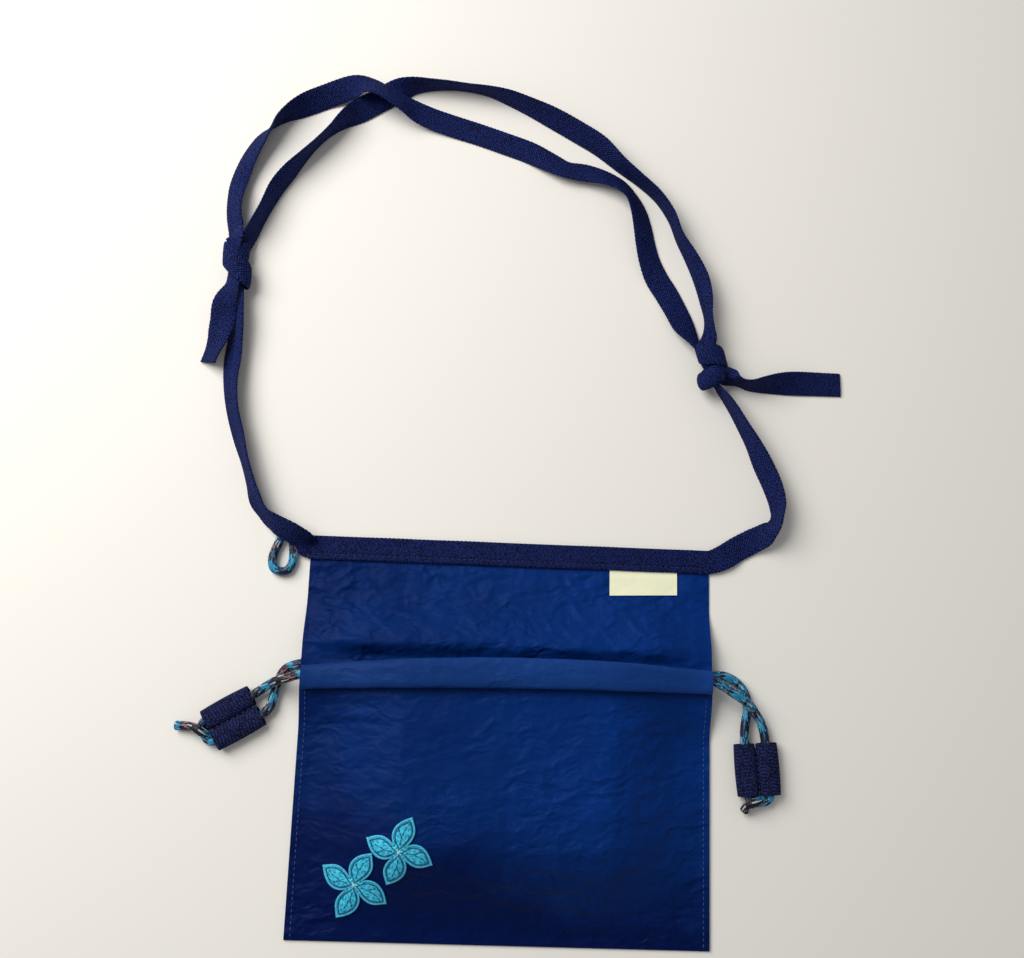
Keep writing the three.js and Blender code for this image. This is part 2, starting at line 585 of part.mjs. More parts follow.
/** A flower patch lying on the front panel. */
function flowerPatch({ fromLeft, fromBottom, turn, reach }) {
  const middle = new THREE.Vector2(fromLeft - HALF_WIDTH, BOTTOM_Y + fromBottom);
  const ring = (share, rise) =>
    spread(0, Math.PI * 2, PATCH_STEPS).slice(0, -1).map((angle) => {
      const radius = share * petalRadius(angle, reach);
      const x = middle.x + radius * Math.cos(angle + degrees(turn));
      const y = middle.y + radius * Math.sin(angle + degrees(turn));
      return [x, y, panelHeight(x, y) + CLEARANCE + rise];
    });
  const lower = PATCH_RINGS.map((share) => ring(share, 0));
  const upper = PATCH_RINGS.map((share) => ring(share, PATCH_THICKNESS));
  const faces = new FaceList();
  for (let i = 0; i + 1 < PATCH_RINGS.length; i += 1) {
    faces.band(lower[i], lower[i + 1]);
    faces.band(upper[i + 1], upper[i]);
  }
  faces.band(lower.at(-1), upper.at(-1));
  faces.band(upper[0], lower[0]);
  return faces.geometry();
}

const nylon = new THREE.MeshStandardMaterial({ color: 0x1d3270, roughness: 0.55, metalness: 0 });
const wovenTape = new THREE.MeshStandardMaterial({ color: 0x161f58, roughness: 0.85, metalness: 0 });
const webbing = new THREE.MeshStandardMaterial({ color: 0x0e1148, roughness: 0.85, metalness: 0 });
const braid = new THREE.MeshStandardMaterial({ color: 0x2f9fd8, roughness: 0.7, metalness: 0 });
const embroidery = new THREE.MeshStandardMaterial({ color: 0x45c6e3, roughness: 0.6, metalness: 0 });
const labelSatin = new THREE.MeshStandardMaterial({ color: 0xeef4bf, roughness: 0.6, metalness: 0 });

const pouch = new THREE.Group();

/** Adds a named piece to a group. */
function place(name, geometry, material, parent = pouch) {
  const mesh = new THREE.Mesh(geometry, material);
  mesh.name = name;
  parent.add(mesh);
  return mesh;
}

// Cloth
place("pouch_body", pouchBody(), nylon);
place("front_casing", frontCasing(), nylon);
place("rear_casing", casingTube(1), nylon).position.set(0, REAR_CASING_Y, CASING_HEIGHT / 2);

// Tape, label and patches
const tape = new THREE.BoxGeometry(POUCH_WIDTH, TAPE_WIDTH, TAPE_THICKNESS);
place("top_tape", tape, wovenTape).position.set(0, TAPE_MIDDLE_Y, TAPE_Z);
const labelPiece = new THREE.BoxGeometry(LABEL_LENGTH, LABEL_HEIGHT, LABEL_THICKNESS);
place("label", labelPiece, labelSatin).position.set(
  HALF_WIDTH - LABEL_FROM_RIGHT,
  TAPE_LOW_Y - CLEARANCE - LABEL_HEIGHT / 2,
  CLOTH + CLEARANCE + LABEL_THICKNESS / 2,
);
for (const [name, patch] of Object.entries(PATCHES)) place(name, flowerPatch(patch), embroidery);

// Drawcords, keepers and end knots
const rearCasingMiddle = () => ({ y: REAR_CASING_Y, z: CASING_HEIGHT / 2 });
place("front_drawcord", drawcord(DRAWCORDS.front, frontCasingMiddle), braid);
place("rear_drawcord", drawcord(DRAWCORDS.rear, rearCasingMiddle), braid);
for (const [name, keeper] of Object.entries(KEEPERS)) {
  const station = new THREE.Group();
  station.position.copy(keeperPlace(keeper));
  station.rotation.z = degrees(keeper.turn);
  pouch.add(station);
  place(`keeper_${name}`, keeperBody(), webbing, station).position.z = KEEPER_Z;
  place(`end_knot_${name}`, endKnot(END_TAILS[name]), braid, station);
}
place("key_loop", keyLoop(), braid);

// Shoulder strap: each riser goes up to a knot, the two runs join the knots, and each tape ends in a tail
const { left: leftKnot, right: rightKnot } = STRAP_KNOTS;
const leftRiser = [...LEFT_RISER_ROUTE, knotSeat(leftKnot, -KNOT_SEAT, SEATS.leftRiser)];
const rightRiser = [...RIGHT_RISER_ROUTE, knotSeat(rightKnot, -KNOT_SEAT, SEATS.rightRiser)];
const innerRun = [
  knotSeat(rightKnot, KNOT_SEAT, SEATS.innerFromRight),
  ...INNER_RUN_ROUTE,
  knotSeat(leftKnot, KNOT_SEAT, SEATS.innerToLeft),
];
const outerRun = [
  knotSeat(leftKnot, KNOT_SEAT, SEATS.outerFromLeft),
  ...OUTER_RUN_ROUTE,
  knotSeat(rightKnot, KNOT_SEAT, SEATS.outerToRight),
];
const leftTail = [knotSeat(leftKnot, -KNOT_SEAT, SEATS.leftTail), ...LEFT_TAIL_ROUTE];
const rightTail = [knotSeat(rightKnot, RIGHT_TAIL_SEAT, SEATS.rightTail), ...RIGHT_TAIL_ROUTE];
place("strap_left_riser", strapRiser(-1, leftRiser), wovenTape);
place("strap_right_riser", strapRiser(1, rightRiser), wovenTape);
place("strap_inner_run", flatTape(innerRun), wovenTape);
place("strap_outer_run", flatTape(outerRun), wovenTape);
place("strap_left_tail", flatTape(leftTail), wovenTape);
place("strap_right_tail", flatTape(rightTail), wovenTape);
for (const [name, { x, y, turn }] of Object.entries(STRAP_KNOTS)) {
  const knot = place(`strap_${name}_knot`, strapKnot(), wovenTape);
  knot.position.set(x, y, STRAP_KNOT_RADIUS * STRAP_KNOT_FLATNESS);
  knot.rotation.z = degrees(turn);
}

export default pouch;
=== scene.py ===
"""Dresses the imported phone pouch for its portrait.

The pouch lies on its back: a crinkled nylon sheet folded into a pocket, two cloth casings with braided
drawcords, two webbing keepers, a herringbone tape that is sewn along the top edge and runs on as a knotted
shoulder strap, a cord loop, a woven label and two embroidered flower patches. Lengths are millimetres until a
mesh is made, then metres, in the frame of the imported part. A pair of lengths that a field holds for an ease
is where the ease begins and where it ends.
"""

from __future__ import annotations

import logging
import math
from dataclasses import dataclass, field, replace
from enum import Enum
from functools import partial
from typing import Callable

import bmesh
import bpy
import numpy as np
from mathutils import Euler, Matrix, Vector

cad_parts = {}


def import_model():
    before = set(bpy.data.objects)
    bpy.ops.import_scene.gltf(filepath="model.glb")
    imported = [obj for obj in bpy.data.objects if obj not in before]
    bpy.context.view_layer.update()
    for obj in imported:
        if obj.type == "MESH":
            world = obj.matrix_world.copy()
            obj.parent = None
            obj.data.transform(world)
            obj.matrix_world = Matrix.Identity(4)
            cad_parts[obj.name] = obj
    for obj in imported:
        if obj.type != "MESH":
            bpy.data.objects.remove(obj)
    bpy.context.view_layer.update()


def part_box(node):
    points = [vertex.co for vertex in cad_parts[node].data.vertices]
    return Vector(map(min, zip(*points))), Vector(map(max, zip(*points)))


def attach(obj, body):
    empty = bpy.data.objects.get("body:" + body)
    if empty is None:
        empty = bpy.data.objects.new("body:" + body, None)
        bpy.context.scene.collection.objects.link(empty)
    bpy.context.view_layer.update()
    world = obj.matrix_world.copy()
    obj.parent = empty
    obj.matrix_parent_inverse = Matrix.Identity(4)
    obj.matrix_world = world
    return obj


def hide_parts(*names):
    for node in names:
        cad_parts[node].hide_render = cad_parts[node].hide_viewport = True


LOG = logging.getLogger("phone_pouch")
MM = 0.001
FULL_TURN = 2 * math.pi
UV_NAME = "cloth_mm"

# Angles in degrees past which an edge is sharp
CLOTH_EDGE = 50
TAPE_EDGE = 55
WEBBING_EDGE = 60

# Node types that come up often
MATH = "ShaderNodeMath"
VECTOR_MATH = "ShaderNodeVectorMath"
MAP_RANGE = "ShaderNodeMapRange"
RAMP = "ShaderNodeValToRGB"
MIX = "ShaderNodeMix"
NOISE = "ShaderNodeTexNoise"
WHITE_NOISE = "ShaderNodeTexWhiteNoise"
COMBINE = "ShaderNodeCombineXYZ"
SEPARATE = "ShaderNodeSeparateXYZ"

RoutePoint = tuple[float, float, float, float]  # x, y, roll of the tape in degrees, lift above the surface
Wrap = tuple[float, float, float, float]  # angle round a knot in degrees, place along it, radius, width
Station = list[float]  # x, y, z of the tape's middle, x, y, z of its face's direction, width
Stops = tuple[tuple[float, str], ...]  # positions and sRGB colours of a colour ramp
Pair = tuple[float, float]
Array = np.ndarray
Tree = bpy.types.NodeTree
Node = bpy.types.Node
Socket = bpy.types.NodeSocket
Material = bpy.types.Material
Piece = bpy.types.Object
Adder = Callable[..., Node]  # add_node with its tree


class Body(Enum):
    """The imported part's bodies."""

    POUCH = "pouch"
    LEFT_KEEPER = "left_keeper"
    RIGHT_KEEPER = "right_keeper"


class Slot(Enum):
    """The record's material slots."""

    NYLON = "nylon_cloth"
    TAPE = "woven_tape"
    WEBBING = "webbing"
    CORD = "braided_cord"
    EMBROIDERY = "embroidery"
    LABEL = "label_satin"


class Blend(Enum):
    """How a colour ramp goes from one stop to the next."""

    EVEN = "LINEAR"
    STEPS = "CONSTANT"


# Small helpers


def linear(hex_colour: str) -> tuple[float, float, float, float]:
    """Turns an sRGB hex colour into linear values.

    Args:
        hex_colour: A colour such as "#1c3372".

    Returns:
        Linear red, green, blue and an alpha of 1.
    """
    parts = [int(hex_colour[i : i + 2], 16) / 255 for i in (1, 3, 5)]
    red, green, blue = (p / 12.92 if p <= 0.04045 else ((p + 0.055) / 1.055) ** 2.4 for p in parts)
    return red, green, blue, 1.0


def add_node(
    tree: Tree,
    kind: str,
    inputs: list | dict | None = None,
    operation: str = "",
    stops: Stops = (),
    blend: Blend = Blend.EVEN,
    **settings: object,
) -> Node:
    """Adds a node with its settings and links.

    Args:
        tree: The shader or geometry tree.
        kind: The node's type name.
        inputs: Values, output sockets or nodes for its inputs, in their order or by name or number. A node
            stands for its first output.
        operation: What it calculates, if it is a math node.
        stops: Positions and sRGB colours, if the node has a colour ramp.
        blend: How one colour of the ramp gives way to the next.
        settings: Properties of the node itself.

    Returns:
        The new node.
    """
    node = tree.nodes.new(kind)
    if operation:
        node.operation = operation
    for key, value in settings.items():
        setattr(node, key, value)
    for key, value in enumerate(inputs) if isinstance(inputs, list) else (inputs or {}).items():
        source = value.outputs[0] if isinstance(value, Node) else value
        if isinstance(source, Socket):
            tree.links.new(source, node.inputs[key])
        else:
            node.inputs[key].default_value = source
    if stops:
        ramp = node.color_ramp
        ramp.interpolation = blend.value
        while len(ramp.elements) < len(stops):
            ramp.elements.new(1.0)
        for element, (position, colour) in zip(ramp.elements, stops):
            element.position = position
            element.color = linear(colour)
    return node


def smoothstep(value: Array | float, low: float, high: float) -> Array:
    """Eases from 0 at low to 1 at high."""
    share = np.clip((np.asarray(value, float) - low) / (high - low), 0, 1)
    return share * share * (3 - 2 * share)


def unit(vectors: Array) -> Array:
    """Scales vectors to length 1 along the last axis."""
    return vectors / np.maximum(np.linalg.norm(vectors, axis=-1, keepdims=True), 1e-9)


def travel(points: Array) -> Array:
    """Distances along a line of points, 0 at the first one."""
    return np.concatenate([[0], np.cumsum(np.linalg.norm(np.diff(points, axis=0), axis=1))])


def tangents(curve: Array) -> Array:
    """Directions along a sampled curve."""
    return unit(np.gradient(curve[:, :3], axis=0))


def turned(points: Array, degrees: float) -> Array:
    """Turns points or directions about the upright axis.

    Args:
        points: Rows of x, y and z.
        degrees: The turn, anticlockwise from above.

    Returns:
        The turned points.
    """
    cos, sin = math.cos(math.radians(degrees)), math.sin(math.radians(degrees))
    points = np.asarray(points, float)
    x, y, z = points[..., 0], points[..., 1], points[..., 2]
    return np.stack([x * cos - y * sin, x * sin + y * cos, z], axis=-1)


def squared_ring(angles: Array, squareness: float) -> tuple[Array, ...]:
    """Places across and up on a ring between a circle, squareness 2, and a box, both 1 from its middle."""
    waves = (np.cos(angles), np.sin(angles))
    return tuple(np.sign(wave) * np.abs(wave) ** (2 / squareness) for wave in waves)


def flow_through(points: Array, per_span: int) -> Array:
    """Runs a centripetal Catmull-Rom curve through control points.

    Args:
        points: Control points, one a row, whose first three columns are the place.
        per_span: Samples in each span between two control points.

    Returns:
        The sampled curve with all its columns, ends included.
    """
    points = np.asarray(points, float)
    padded = np.vstack([2 * points[0] - points[1], points, 2 * points[-1] - points[-2]])
    gaps = np.sqrt(np.maximum(np.linalg.norm(np.diff(padded[:, :3], axis=0), axis=1), 1e-6))
    shares = np.linspace(0, 1, per_span, endpoint=False)[:, None]
    spans = []
    for i in range(len(points) - 1):
        p0, p1, p2, p3 = padded[i : i + 4]
        g0, g1, g2 = gaps[i : i + 3]
        slope1 = g1 * ((p1 - p0) / g0 - (p2 - p0) / (g0 + g1) + (p2 - p1) / g1)
        slope2 = g1 * ((p2 - p1) / g1 - (p3 - p1) / (g1 + g2) + (p3 - p2) / g2)
        a = 2 * (p1 - p2) + slope1 + slope2
        b = -3 * (p1 - p2) - 2 * slope1 - slope2
        spans.append(((a * shares + b) * shares + slope1) * shares + p1)
    return np.vstack([*spans, points[-1:]])


def even_steps(curve: Array, step: float) -> tuple[Array, Array]:
    """Samples a curve again at even distances.

    Args:
        curve: Points of the curve, place in the first three columns.
        step: Distance between two samples, in millimetres.

    Returns:
        The new samples and their distances along the curve.
    """
    travelled = travel(curve[:, :3])
    count = max(2, int(round(travelled[-1] / step)) + 1)
    stops = np.linspace(0, travelled[-1], count)
    columns = [np.interp(stops, travelled, curve[:, k]) for k in range(curve.shape[1])]
    return np.stack(columns, axis=1), stops


def carried_normals(along: Array, first: Array) -> Array:
    """Carries a side direction along a curve with as little twist as possible.

    Args:
        along: Directions along the curve.
        first: A wish for the side direction at the start.

    Returns:
        Side directions at right angles to the curve.
    """
    normals = np.empty_like(along)
    current = first
    for i, direction in enumerate(along):
        current = current - direction * np.dot(current, direction)
        current = current / np.linalg.norm(current)
        normals[i] = current
    return normals


class CrinkleField:
    """Smooth random heights over a plane, the same on every run."""

    CELLS = 64
    BEND = 0.55
    BEND_SCALE = 0.7
    BEND_START = (17.3, 5.1)
    RIDGE_GAIN = 1.25
    RIDGE_ROUND = 0.004
    RIDGE_MEAN = 0.45

    def __init__(self, seed: int) -> None:
        """Draws the field's directions from a fixed seed."""
        angle = np.random.default_rng(seed).uniform(0, FULL_TURN, (self.CELLS, self.CELLS))
        self.slopes = np.stack([np.cos(angle), np.sin(angle)], axis=-1)

    def smooth(self, x: Array, y: Array) -> Array:
        """Gradient noise with features one unit wide.

        Args:
            x: Places across.
            y: Places along.

        Returns:
            Heights from about -0.7 to 0.7.
        """
        i, j = np.floor(x).astype(int), np.floor(y).astype(int)
        fx, fy = x - i, y - j
        ease_x, ease_y = (f * f * f * (f * (f * 6 - 15) + 10) for f in (fx, fy))
        corners = []
        for dx, dy in ((0, 0), (1, 0), (0, 1), (1, 1)):
            slope = self.slopes[(i + dx) % self.CELLS, (j + dy) % self.CELLS]
            corners.append(slope[..., 0] * (fx - dx) + slope[..., 1] * (fy - dy))
        low = corners[0] + ease_x * (corners[1] - corners[0])
        high = corners[2] + ease_x * (corners[3] - corners[2])
        return low + ease_y * (high - low)

    def creased(self, x: Array, y: Array) -> Array:
        """Noise with sharp ridges, whose lines are bent by a second layer.

        Args:
            x: Places across.
            y: Places along.

        Returns:
            Heights about a mean of 0.
        """
        start_x, start_y = self.BEND_START
        bend = self.BEND * self.smooth(self.BEND_SCALE * x + start_x, self.BEND_SCALE * y + start_y)
        depth = np.sqrt(np.abs(self.smooth(x + bend, y - bend)) + self.RIDGE_ROUND)
        return 1 - self.RIDGE_GAIN * depth - self.RIDGE_MEAN


@dataclass
class MeshDraft:
    """Corners in millimetres, faces, texture places in millimetres and material numbers of a mesh."""

    points: list[Array] = field(default_factory=list)
    faces: list[list[int]] = field(default_factory=list)
    places: list[list[Pair]] = field(default_factory=list)
    numbers: list[int] = field(default_factory=list)
    count: int = 0

    def add_points(self, points: Array) -> int:
        """Adds corners.

        Args:
            points: Rows of x, y and z.

        Returns:
            The number of the first new corner.
        """
        first = self.count
        self.points.append(np.asarray(points, float).reshape(-1, 3))
        self.count += len(self.points[-1])
        return first

    def add_face(self, corners: list[int], places: list[Pair], number: int = 0) -> None:
        """Adds one face.

        Args:
            corners: Its corners' numbers.
            places: The texture place of each corner.
            number: Its material number.
        """
        self.faces.append([int(corner) for corner in corners])
        self.places.append(places)
        self.numbers.append(number)

    def add_grid(
        self, grid: Array, along: Array, around: Array, wrap: bool = False, flip: bool = False
    ) -> Array:
        """Adds a grid of faces whose outside is columns turned towards rows.

        Args:
            grid: Corners as rows by columns by 3.
            along: Texture place of each row.
            around: Texture place of each column, one more than the columns where the grid wraps.
            wrap: Joins the last column to the first.
            flip: Turns the faces over.

        Returns:
            The corner numbers as rows by columns.
        """
        rows, columns = grid.shape[:2]
        index = self.add_points(grid) + np.arange(rows * columns).reshape(rows, columns)
        for r in range(rows - 1):
            for c in range(columns if wrap else columns - 1):
                d = (c + 1) % columns
                corners = [index[r, c], index[r, d], index[r + 1, d], index[r + 1, c]]
                low, high, left, right = along[r], along[r + 1], around[c], around[c + 1]
                places = [(low, left), (low, right), (high, right), (high, left)]
                if flip:
                    corners.reverse()
                    places.reverse()
                self.add_face(corners, places)
        return index

    def add_shell(
        self, grid: Array, thickness: float, along: Array, around: Array, wrap: bool = False
    ) -> None:
        """Adds a sheet with a thickness, closed along its rims.

        Args:
            grid: Middle of the sheet as rows by columns by 3.
            thickness: Thickness in millimetres.
            along: Texture place of each row.
            around: Texture place of each column, one more than the columns where the sheet wraps.
            wrap: Joins the last column to the first.
        """
        by_row = np.gradient(grid, axis=0)
        by_column = np.gradient(grid, axis=1)
        if wrap:
            by_column = np.roll(grid, -1, axis=1) - np.roll(grid, 1, axis=1)
        half = unit(np.cross(by_column, by_row)) * thickness / 2
        outer = self.add_grid(grid + half, along, around, wrap)
        inner = self.add_grid(grid - half, along, around, wrap, flip=True)
        rows, columns = grid.shape[:2]
        for c in range(columns if wrap else columns - 1):
            d = (c + 1) % columns
            for r, first, second in ((0, d, c), (rows - 1, c, d)):
                corners = [outer[r, first], outer[r, second], inner[r, second], inner[r, first]]
                self.add_face(corners, [(along[r], around[c])] * 4)
        if wrap:
            return
        for r in range(rows - 1):
            for c, first, second in ((0, r, r + 1), (columns - 1, r + 1, r)):
                corners = [outer[first, c], outer[second, c], inner[second, c], inner[first, c]]
                self.add_face(corners, [(along[r], around[c])] * 4)

    def add_tube(self, rings: Array, along: Array, around: Array) -> None:
        """Adds a closed tube with flat ends.

        Args:
            rings: Rings of corners as rows by columns by 3.
            along: Texture place of each ring.
            around: Texture place of each column and of the first one again.
        """
        index = self.add_grid(rings, along, around, wrap=True)
        for ring, s, turn in ((index[0], along[0], -1), (index[-1], along[-1], 1)):
            self.add_face(ring[::turn], [(s, float(v)) for v in around[: len(ring)]][::turn])

    def build(self, name: str, *finishes: Wardrobe, sharp: float = 0.0) -> Piece:
        """Makes the mesh object.

        Args:
            name: Name of the piece.
            finishes: Its finishes, by material number.
            sharp: Angle in degrees past which an edge is sharp, or 0 for a piece that is smooth all over.

        Returns:
            The linked object, at the origin.
        """
        mesh = bpy.data.meshes.new(name)
        mesh.from_pydata((np.vstack(self.points) * MM).tolist(), [], self.faces)
        uv_layer = mesh.uv_layers.new(name=UV_NAME)
        flat = np.array([place for places in self.places for place in places], np.float32)
        uv_layer.data.foreach_set("uv", flat.ravel())
        for finish in finishes:
            mesh.materials.append(finish.material)
        mesh.polygons.foreach_set("material_index", np.array(self.numbers, np.int32))
        mesh.polygons.foreach_set("use_smooth", np.ones(len(self.faces), bool))
        mesh.update()
        if sharp:
            sharpen(mesh, sharp)
        piece = bpy.data.objects.new(name, mesh)
        bpy.context.scene.collection.objects.link(piece)
        return piece


def sharpen(mesh: bpy.types.Mesh, degrees: float) -> None:
    """Marks edges that turn more than an angle as sharp.

    Args:
        mesh: The mesh.
        degrees: The angle.
    """
    bm = bmesh.new()
    bm.from_mesh(mesh)
    for edge in bm.edges:
        if len(edge.link_faces) == 2 and edge.calc_face_angle(0) > math.radians(degrees):
            edge.smooth = False
    bm.to_mesh(mesh)
    bm.free()


def settle(piece: Piece, body: Body, slot: Slot, *nodes: str) -> None:
    """Lets a piece ride on its body and hides the solids that it stands for.

    Args:
        piece: The finished piece.
        body: The body that carries it.
        slot: Its material slot in the record. Not used.
        nodes: The solids that it replaces.
    """
    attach(piece, body.value)
    if nodes:
        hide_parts(*nodes)
    LOG.info("%s: %d faces on %s", piece.name, len(piece.data.polygons), body.value)


# Finishes


@dataclass(frozen=True)
class Surface:
    """What a finish gives the shader: a colour, a relief with its depth, and plain numbers for the gloss."""

    colour: Node | str
    roughness: float
    gloss: float = 0.5
    sheen: str = "#ffffff"
    relief: Node | None = None
    strength: Node | float = 1.0
    depth_mm: float = 0.0


class Finish:
    """What all finishes share: the places that a pattern follows and the way to the shader."""

    name: str

    def look(self, add: Adder) -> Surface:
        """Lays out the finish's pattern in a material's tree."""
        raise NotImplementedError

    def cloth_places(self, add: Adder) -> tuple[Socket, Socket]:
        """The piece's two texture places in millimetres, along and across."""
        along, across, _ = add(SEPARATE, [add("ShaderNodeUVMap", uv_map=UV_NAME)]).outputs
        return along, across

    def specks(self, add: Adder, size_mm: float, detail: float) -> Node:
        """Unevenness from 0 to 1 over the piece's Object coordinates, with features of a size."""
        place = add("ShaderNodeTexCoord").outputs["Object"]
        return add(NOISE, {"Vector": place, "Scale": 1 / (size_mm * MM), "Detail": detail})

    def build(self) -> Material:
        """Makes the material, with its plain numbers set on the shader's own sockets.

        Returns:
            The material.
        """
        material = bpy.data.materials.new(self.name)
        material.use_nodes = True
        tree = material.node_tree
        add = partial(add_node, tree)
        surface = self.look(add)
        shader = tree.nodes["Principled BSDF"].inputs
        if isinstance(surface.colour, str):
            shader["Base Color"].default_value = linear(surface.colour)
        else:
            tree.links.new(surface.colour.outputs[0], shader["Base Color"])
        if surface.relief is not None:
            depth = surface.depth_mm * MM
            inputs = {"Strength": surface.strength, "Distance": depth, "Height": surface.relief}
            tree.links.new(add("ShaderNodeBump", inputs).outputs[0], shader["Normal"])
        shader["Roughness"].default_value = surface.roughness
        shader["Specular IOR Level"].default_value = surface.gloss
        shader["Specular Tint"].default_value = linear(surface.sheen)
        return material


@dataclass(frozen=True)
class CrinkledNylon(Finish):
    """Crinkle-washed nylon taffeta: deep navy, nearly matt, broken by small sharp washed-in creases.

    Each span holds two places in metres, or two values of the noise, and what they are mapped to.
    """

    name: str = "crinkled_nylon_taffeta"
    deep: str = "#03296a"
    lit: str = "#053484"
    # painted shade: the darkest colour, reached where the cloth is darkened towards the fold and the left
    fold: str = "#01144a"
    crinkle: float = 1.0
    thread_mm: float = 0.9  # the real weave of 0.2 mm is too fine to show
    weave: float = 0.05
    facet_mm: Pair = (13.0, 6.5)
    facet_layers: tuple[Pair, ...] = ((1.0, 2.4), (0.42, 1.1))  # share of the facets' size, height
    bend_mm: float = 14.0
    bend_reach_mm: float = 12.0
    # The next two spans are painted shade: the colour darkens towards the fold at the bottom and towards the
    # left
    painted_shade_fold_span: tuple[float, ...] = (-0.085, -0.025, -0.55, 0.0)
    painted_shade_left_span: tuple[float, ...] = (-0.085, 0.04, -0.36, 0.0)
    mouth_span: tuple[float, ...] = (0.026, 0.036, 0.8, 1.0)
    patchy_span: tuple[float, ...] = (0.4, 0.6, 0.4, 1.0)

    def look(self, add: Adder) -> Surface:
        """Mottled navy with painted shade towards the fold and the left, with a weave and finer creases than
        the mesh.

        Args:
            add: Adds a node to the material.

        Returns:
            The surface.
        """
        place = add("ShaderNodeTexCoord").outputs["Object"]
        x, y, _ = add(SEPARATE, [place]).outputs
        # Painted shade towards the fold and the left, added to the random mottle
        shades = [add(MAP_RANGE, [y, *self.painted_shade_fold_span]), add(MAP_RANGE, [x, *self.painted_shade_left_span])]
        painted_shade = add(MATH, shades, "ADD")
        tone = add(MATH, [painted_shade, 0.25], "ADD")
        mottle_and_painted_shade = add(MATH, [self.specks(add, 26, 4), 0.5, tone], "MULTIPLY_ADD")
        stops = ((0.0, self.fold), (0.3, self.deep), (0.7, self.lit))
        drawn = add(MAP_RANGE, [y, *self.mouth_span])
        patchy = add(MAP_RANGE, [self.specks(add, 30, 2), *self.patchy_span])
        strength = add(MATH, [drawn, patchy], "MULTIPLY")
        return Surface(
            colour=add(RAMP, [mottle_and_painted_shade], stops=stops),
            roughness=0.5,
            gloss=0.12,
            sheen="#b4bede",
            relief=self.relief(add, place),
            strength=add(MATH, [strength, self.crinkle], "MULTIPLY"),
            depth_mm=0.6,
        )

    def relief(self, add: Adder, place: Socket) -> Node:
        """The weave, a fine grain and two sizes of crease between flat facets.

        Args:
            add: Adds a node to the material.
            place: The piece's Object coordinates.

        Returns:
            The height.
        """
        threads = []
        for run in self.cloth_places(add):
            angle = add(MATH, [run, FULL_TURN / self.thread_mm], "MULTIPLY")
            threads.append(add(MATH, [angle], "SINE"))
        crossing = add(MATH, threads, "MULTIPLY")
        weave = add(MATH, [crossing, self.weave], "MULTIPLY")
        height = add(MATH, [self.specks(add, 3.4, 3), 0.5, weave], "MULTIPLY_ADD")
        inputs = {"Vector": place, "Scale": 1 / (self.bend_mm * MM), "Detail": 3.0}
        stray = add(NOISE, inputs).outputs["Color"]
        reach = (self.bend_reach_mm * MM,) * 3
        bent = add(VECTOR_MATH, [stray, reach, place], "MULTIPLY_ADD")
        for share, weight in self.facet_layers:
            cell = (*(1 / (size * share * MM) for size in self.facet_mm), 0.0)
            spot = add(VECTOR_MATH, [bent, cell], "MULTIPLY")
            inputs = {"Vector": spot, "Scale": 1.0}
            facets = add("ShaderNodeTexVoronoi", inputs, voronoi_dimensions="2D")
            height = add(MATH, [facets, weight, height], "MULTIPLY_ADD")
        return height


@dataclass(frozen=True)
class HerringboneTape(Finish):
    """Spun polyester herringbone tape: matt, with plump slanting yarns that turn back at each column."""

    name: str = "herringbone_polyester_tape"
    shadow: str = "#010317"
    yarn: str = "#1b2b6e"
    rib_mm: float = 1.4
    float_mm: float = 2.3
    column_mm: float = 2.6

    def look(self, add: Adder) -> Surface:
        """Near-black between the yarns and a lighter, uneven crown on each.

        Args:
            add: Adds a node to the material.

        Returns:
            The surface.
        """
        along, across = self.cloth_places(add)
        shifted = add(MATH, [across, self.column_mm], "ADD")
        zigzag = add(MATH, [shifted, self.column_mm], "PINGPONG")
        waves = []
        for way, turn in (("ADD", FULL_TURN / self.rib_mm), ("SUBTRACT", math.pi / self.float_mm)):
            slant = add(MATH, [along, zigzag], way)
            angle = add(MATH, [slant, turn], "MULTIPLY")
            waves.append(add(MATH, [angle], "SINE"))
        rib = add(MATH, [waves[0], 0.5, 0.5], "MULTIPLY_ADD")
        crest = add(MATH, [waves[1]], "ABSOLUTE")
        length = add(MATH, [crest, 0.6, 0.4], "MULTIPLY_ADD")
        yarn = add(MATH, [rib, length], "MULTIPLY")
        plump = add(MATH, [yarn, 0.5], "MULTIPLY")
        grain = add(MATH, [self.specks(add, 0.8, 2), 1.1, plump], "MULTIPLY_ADD")
        colour = add(RAMP, [grain], stops=((0.62, self.shadow), (0.88, self.yarn)))
        return Surface(colour, roughness=0.8, gloss=0.12, relief=grain, strength=0.9, depth_mm=0.35)


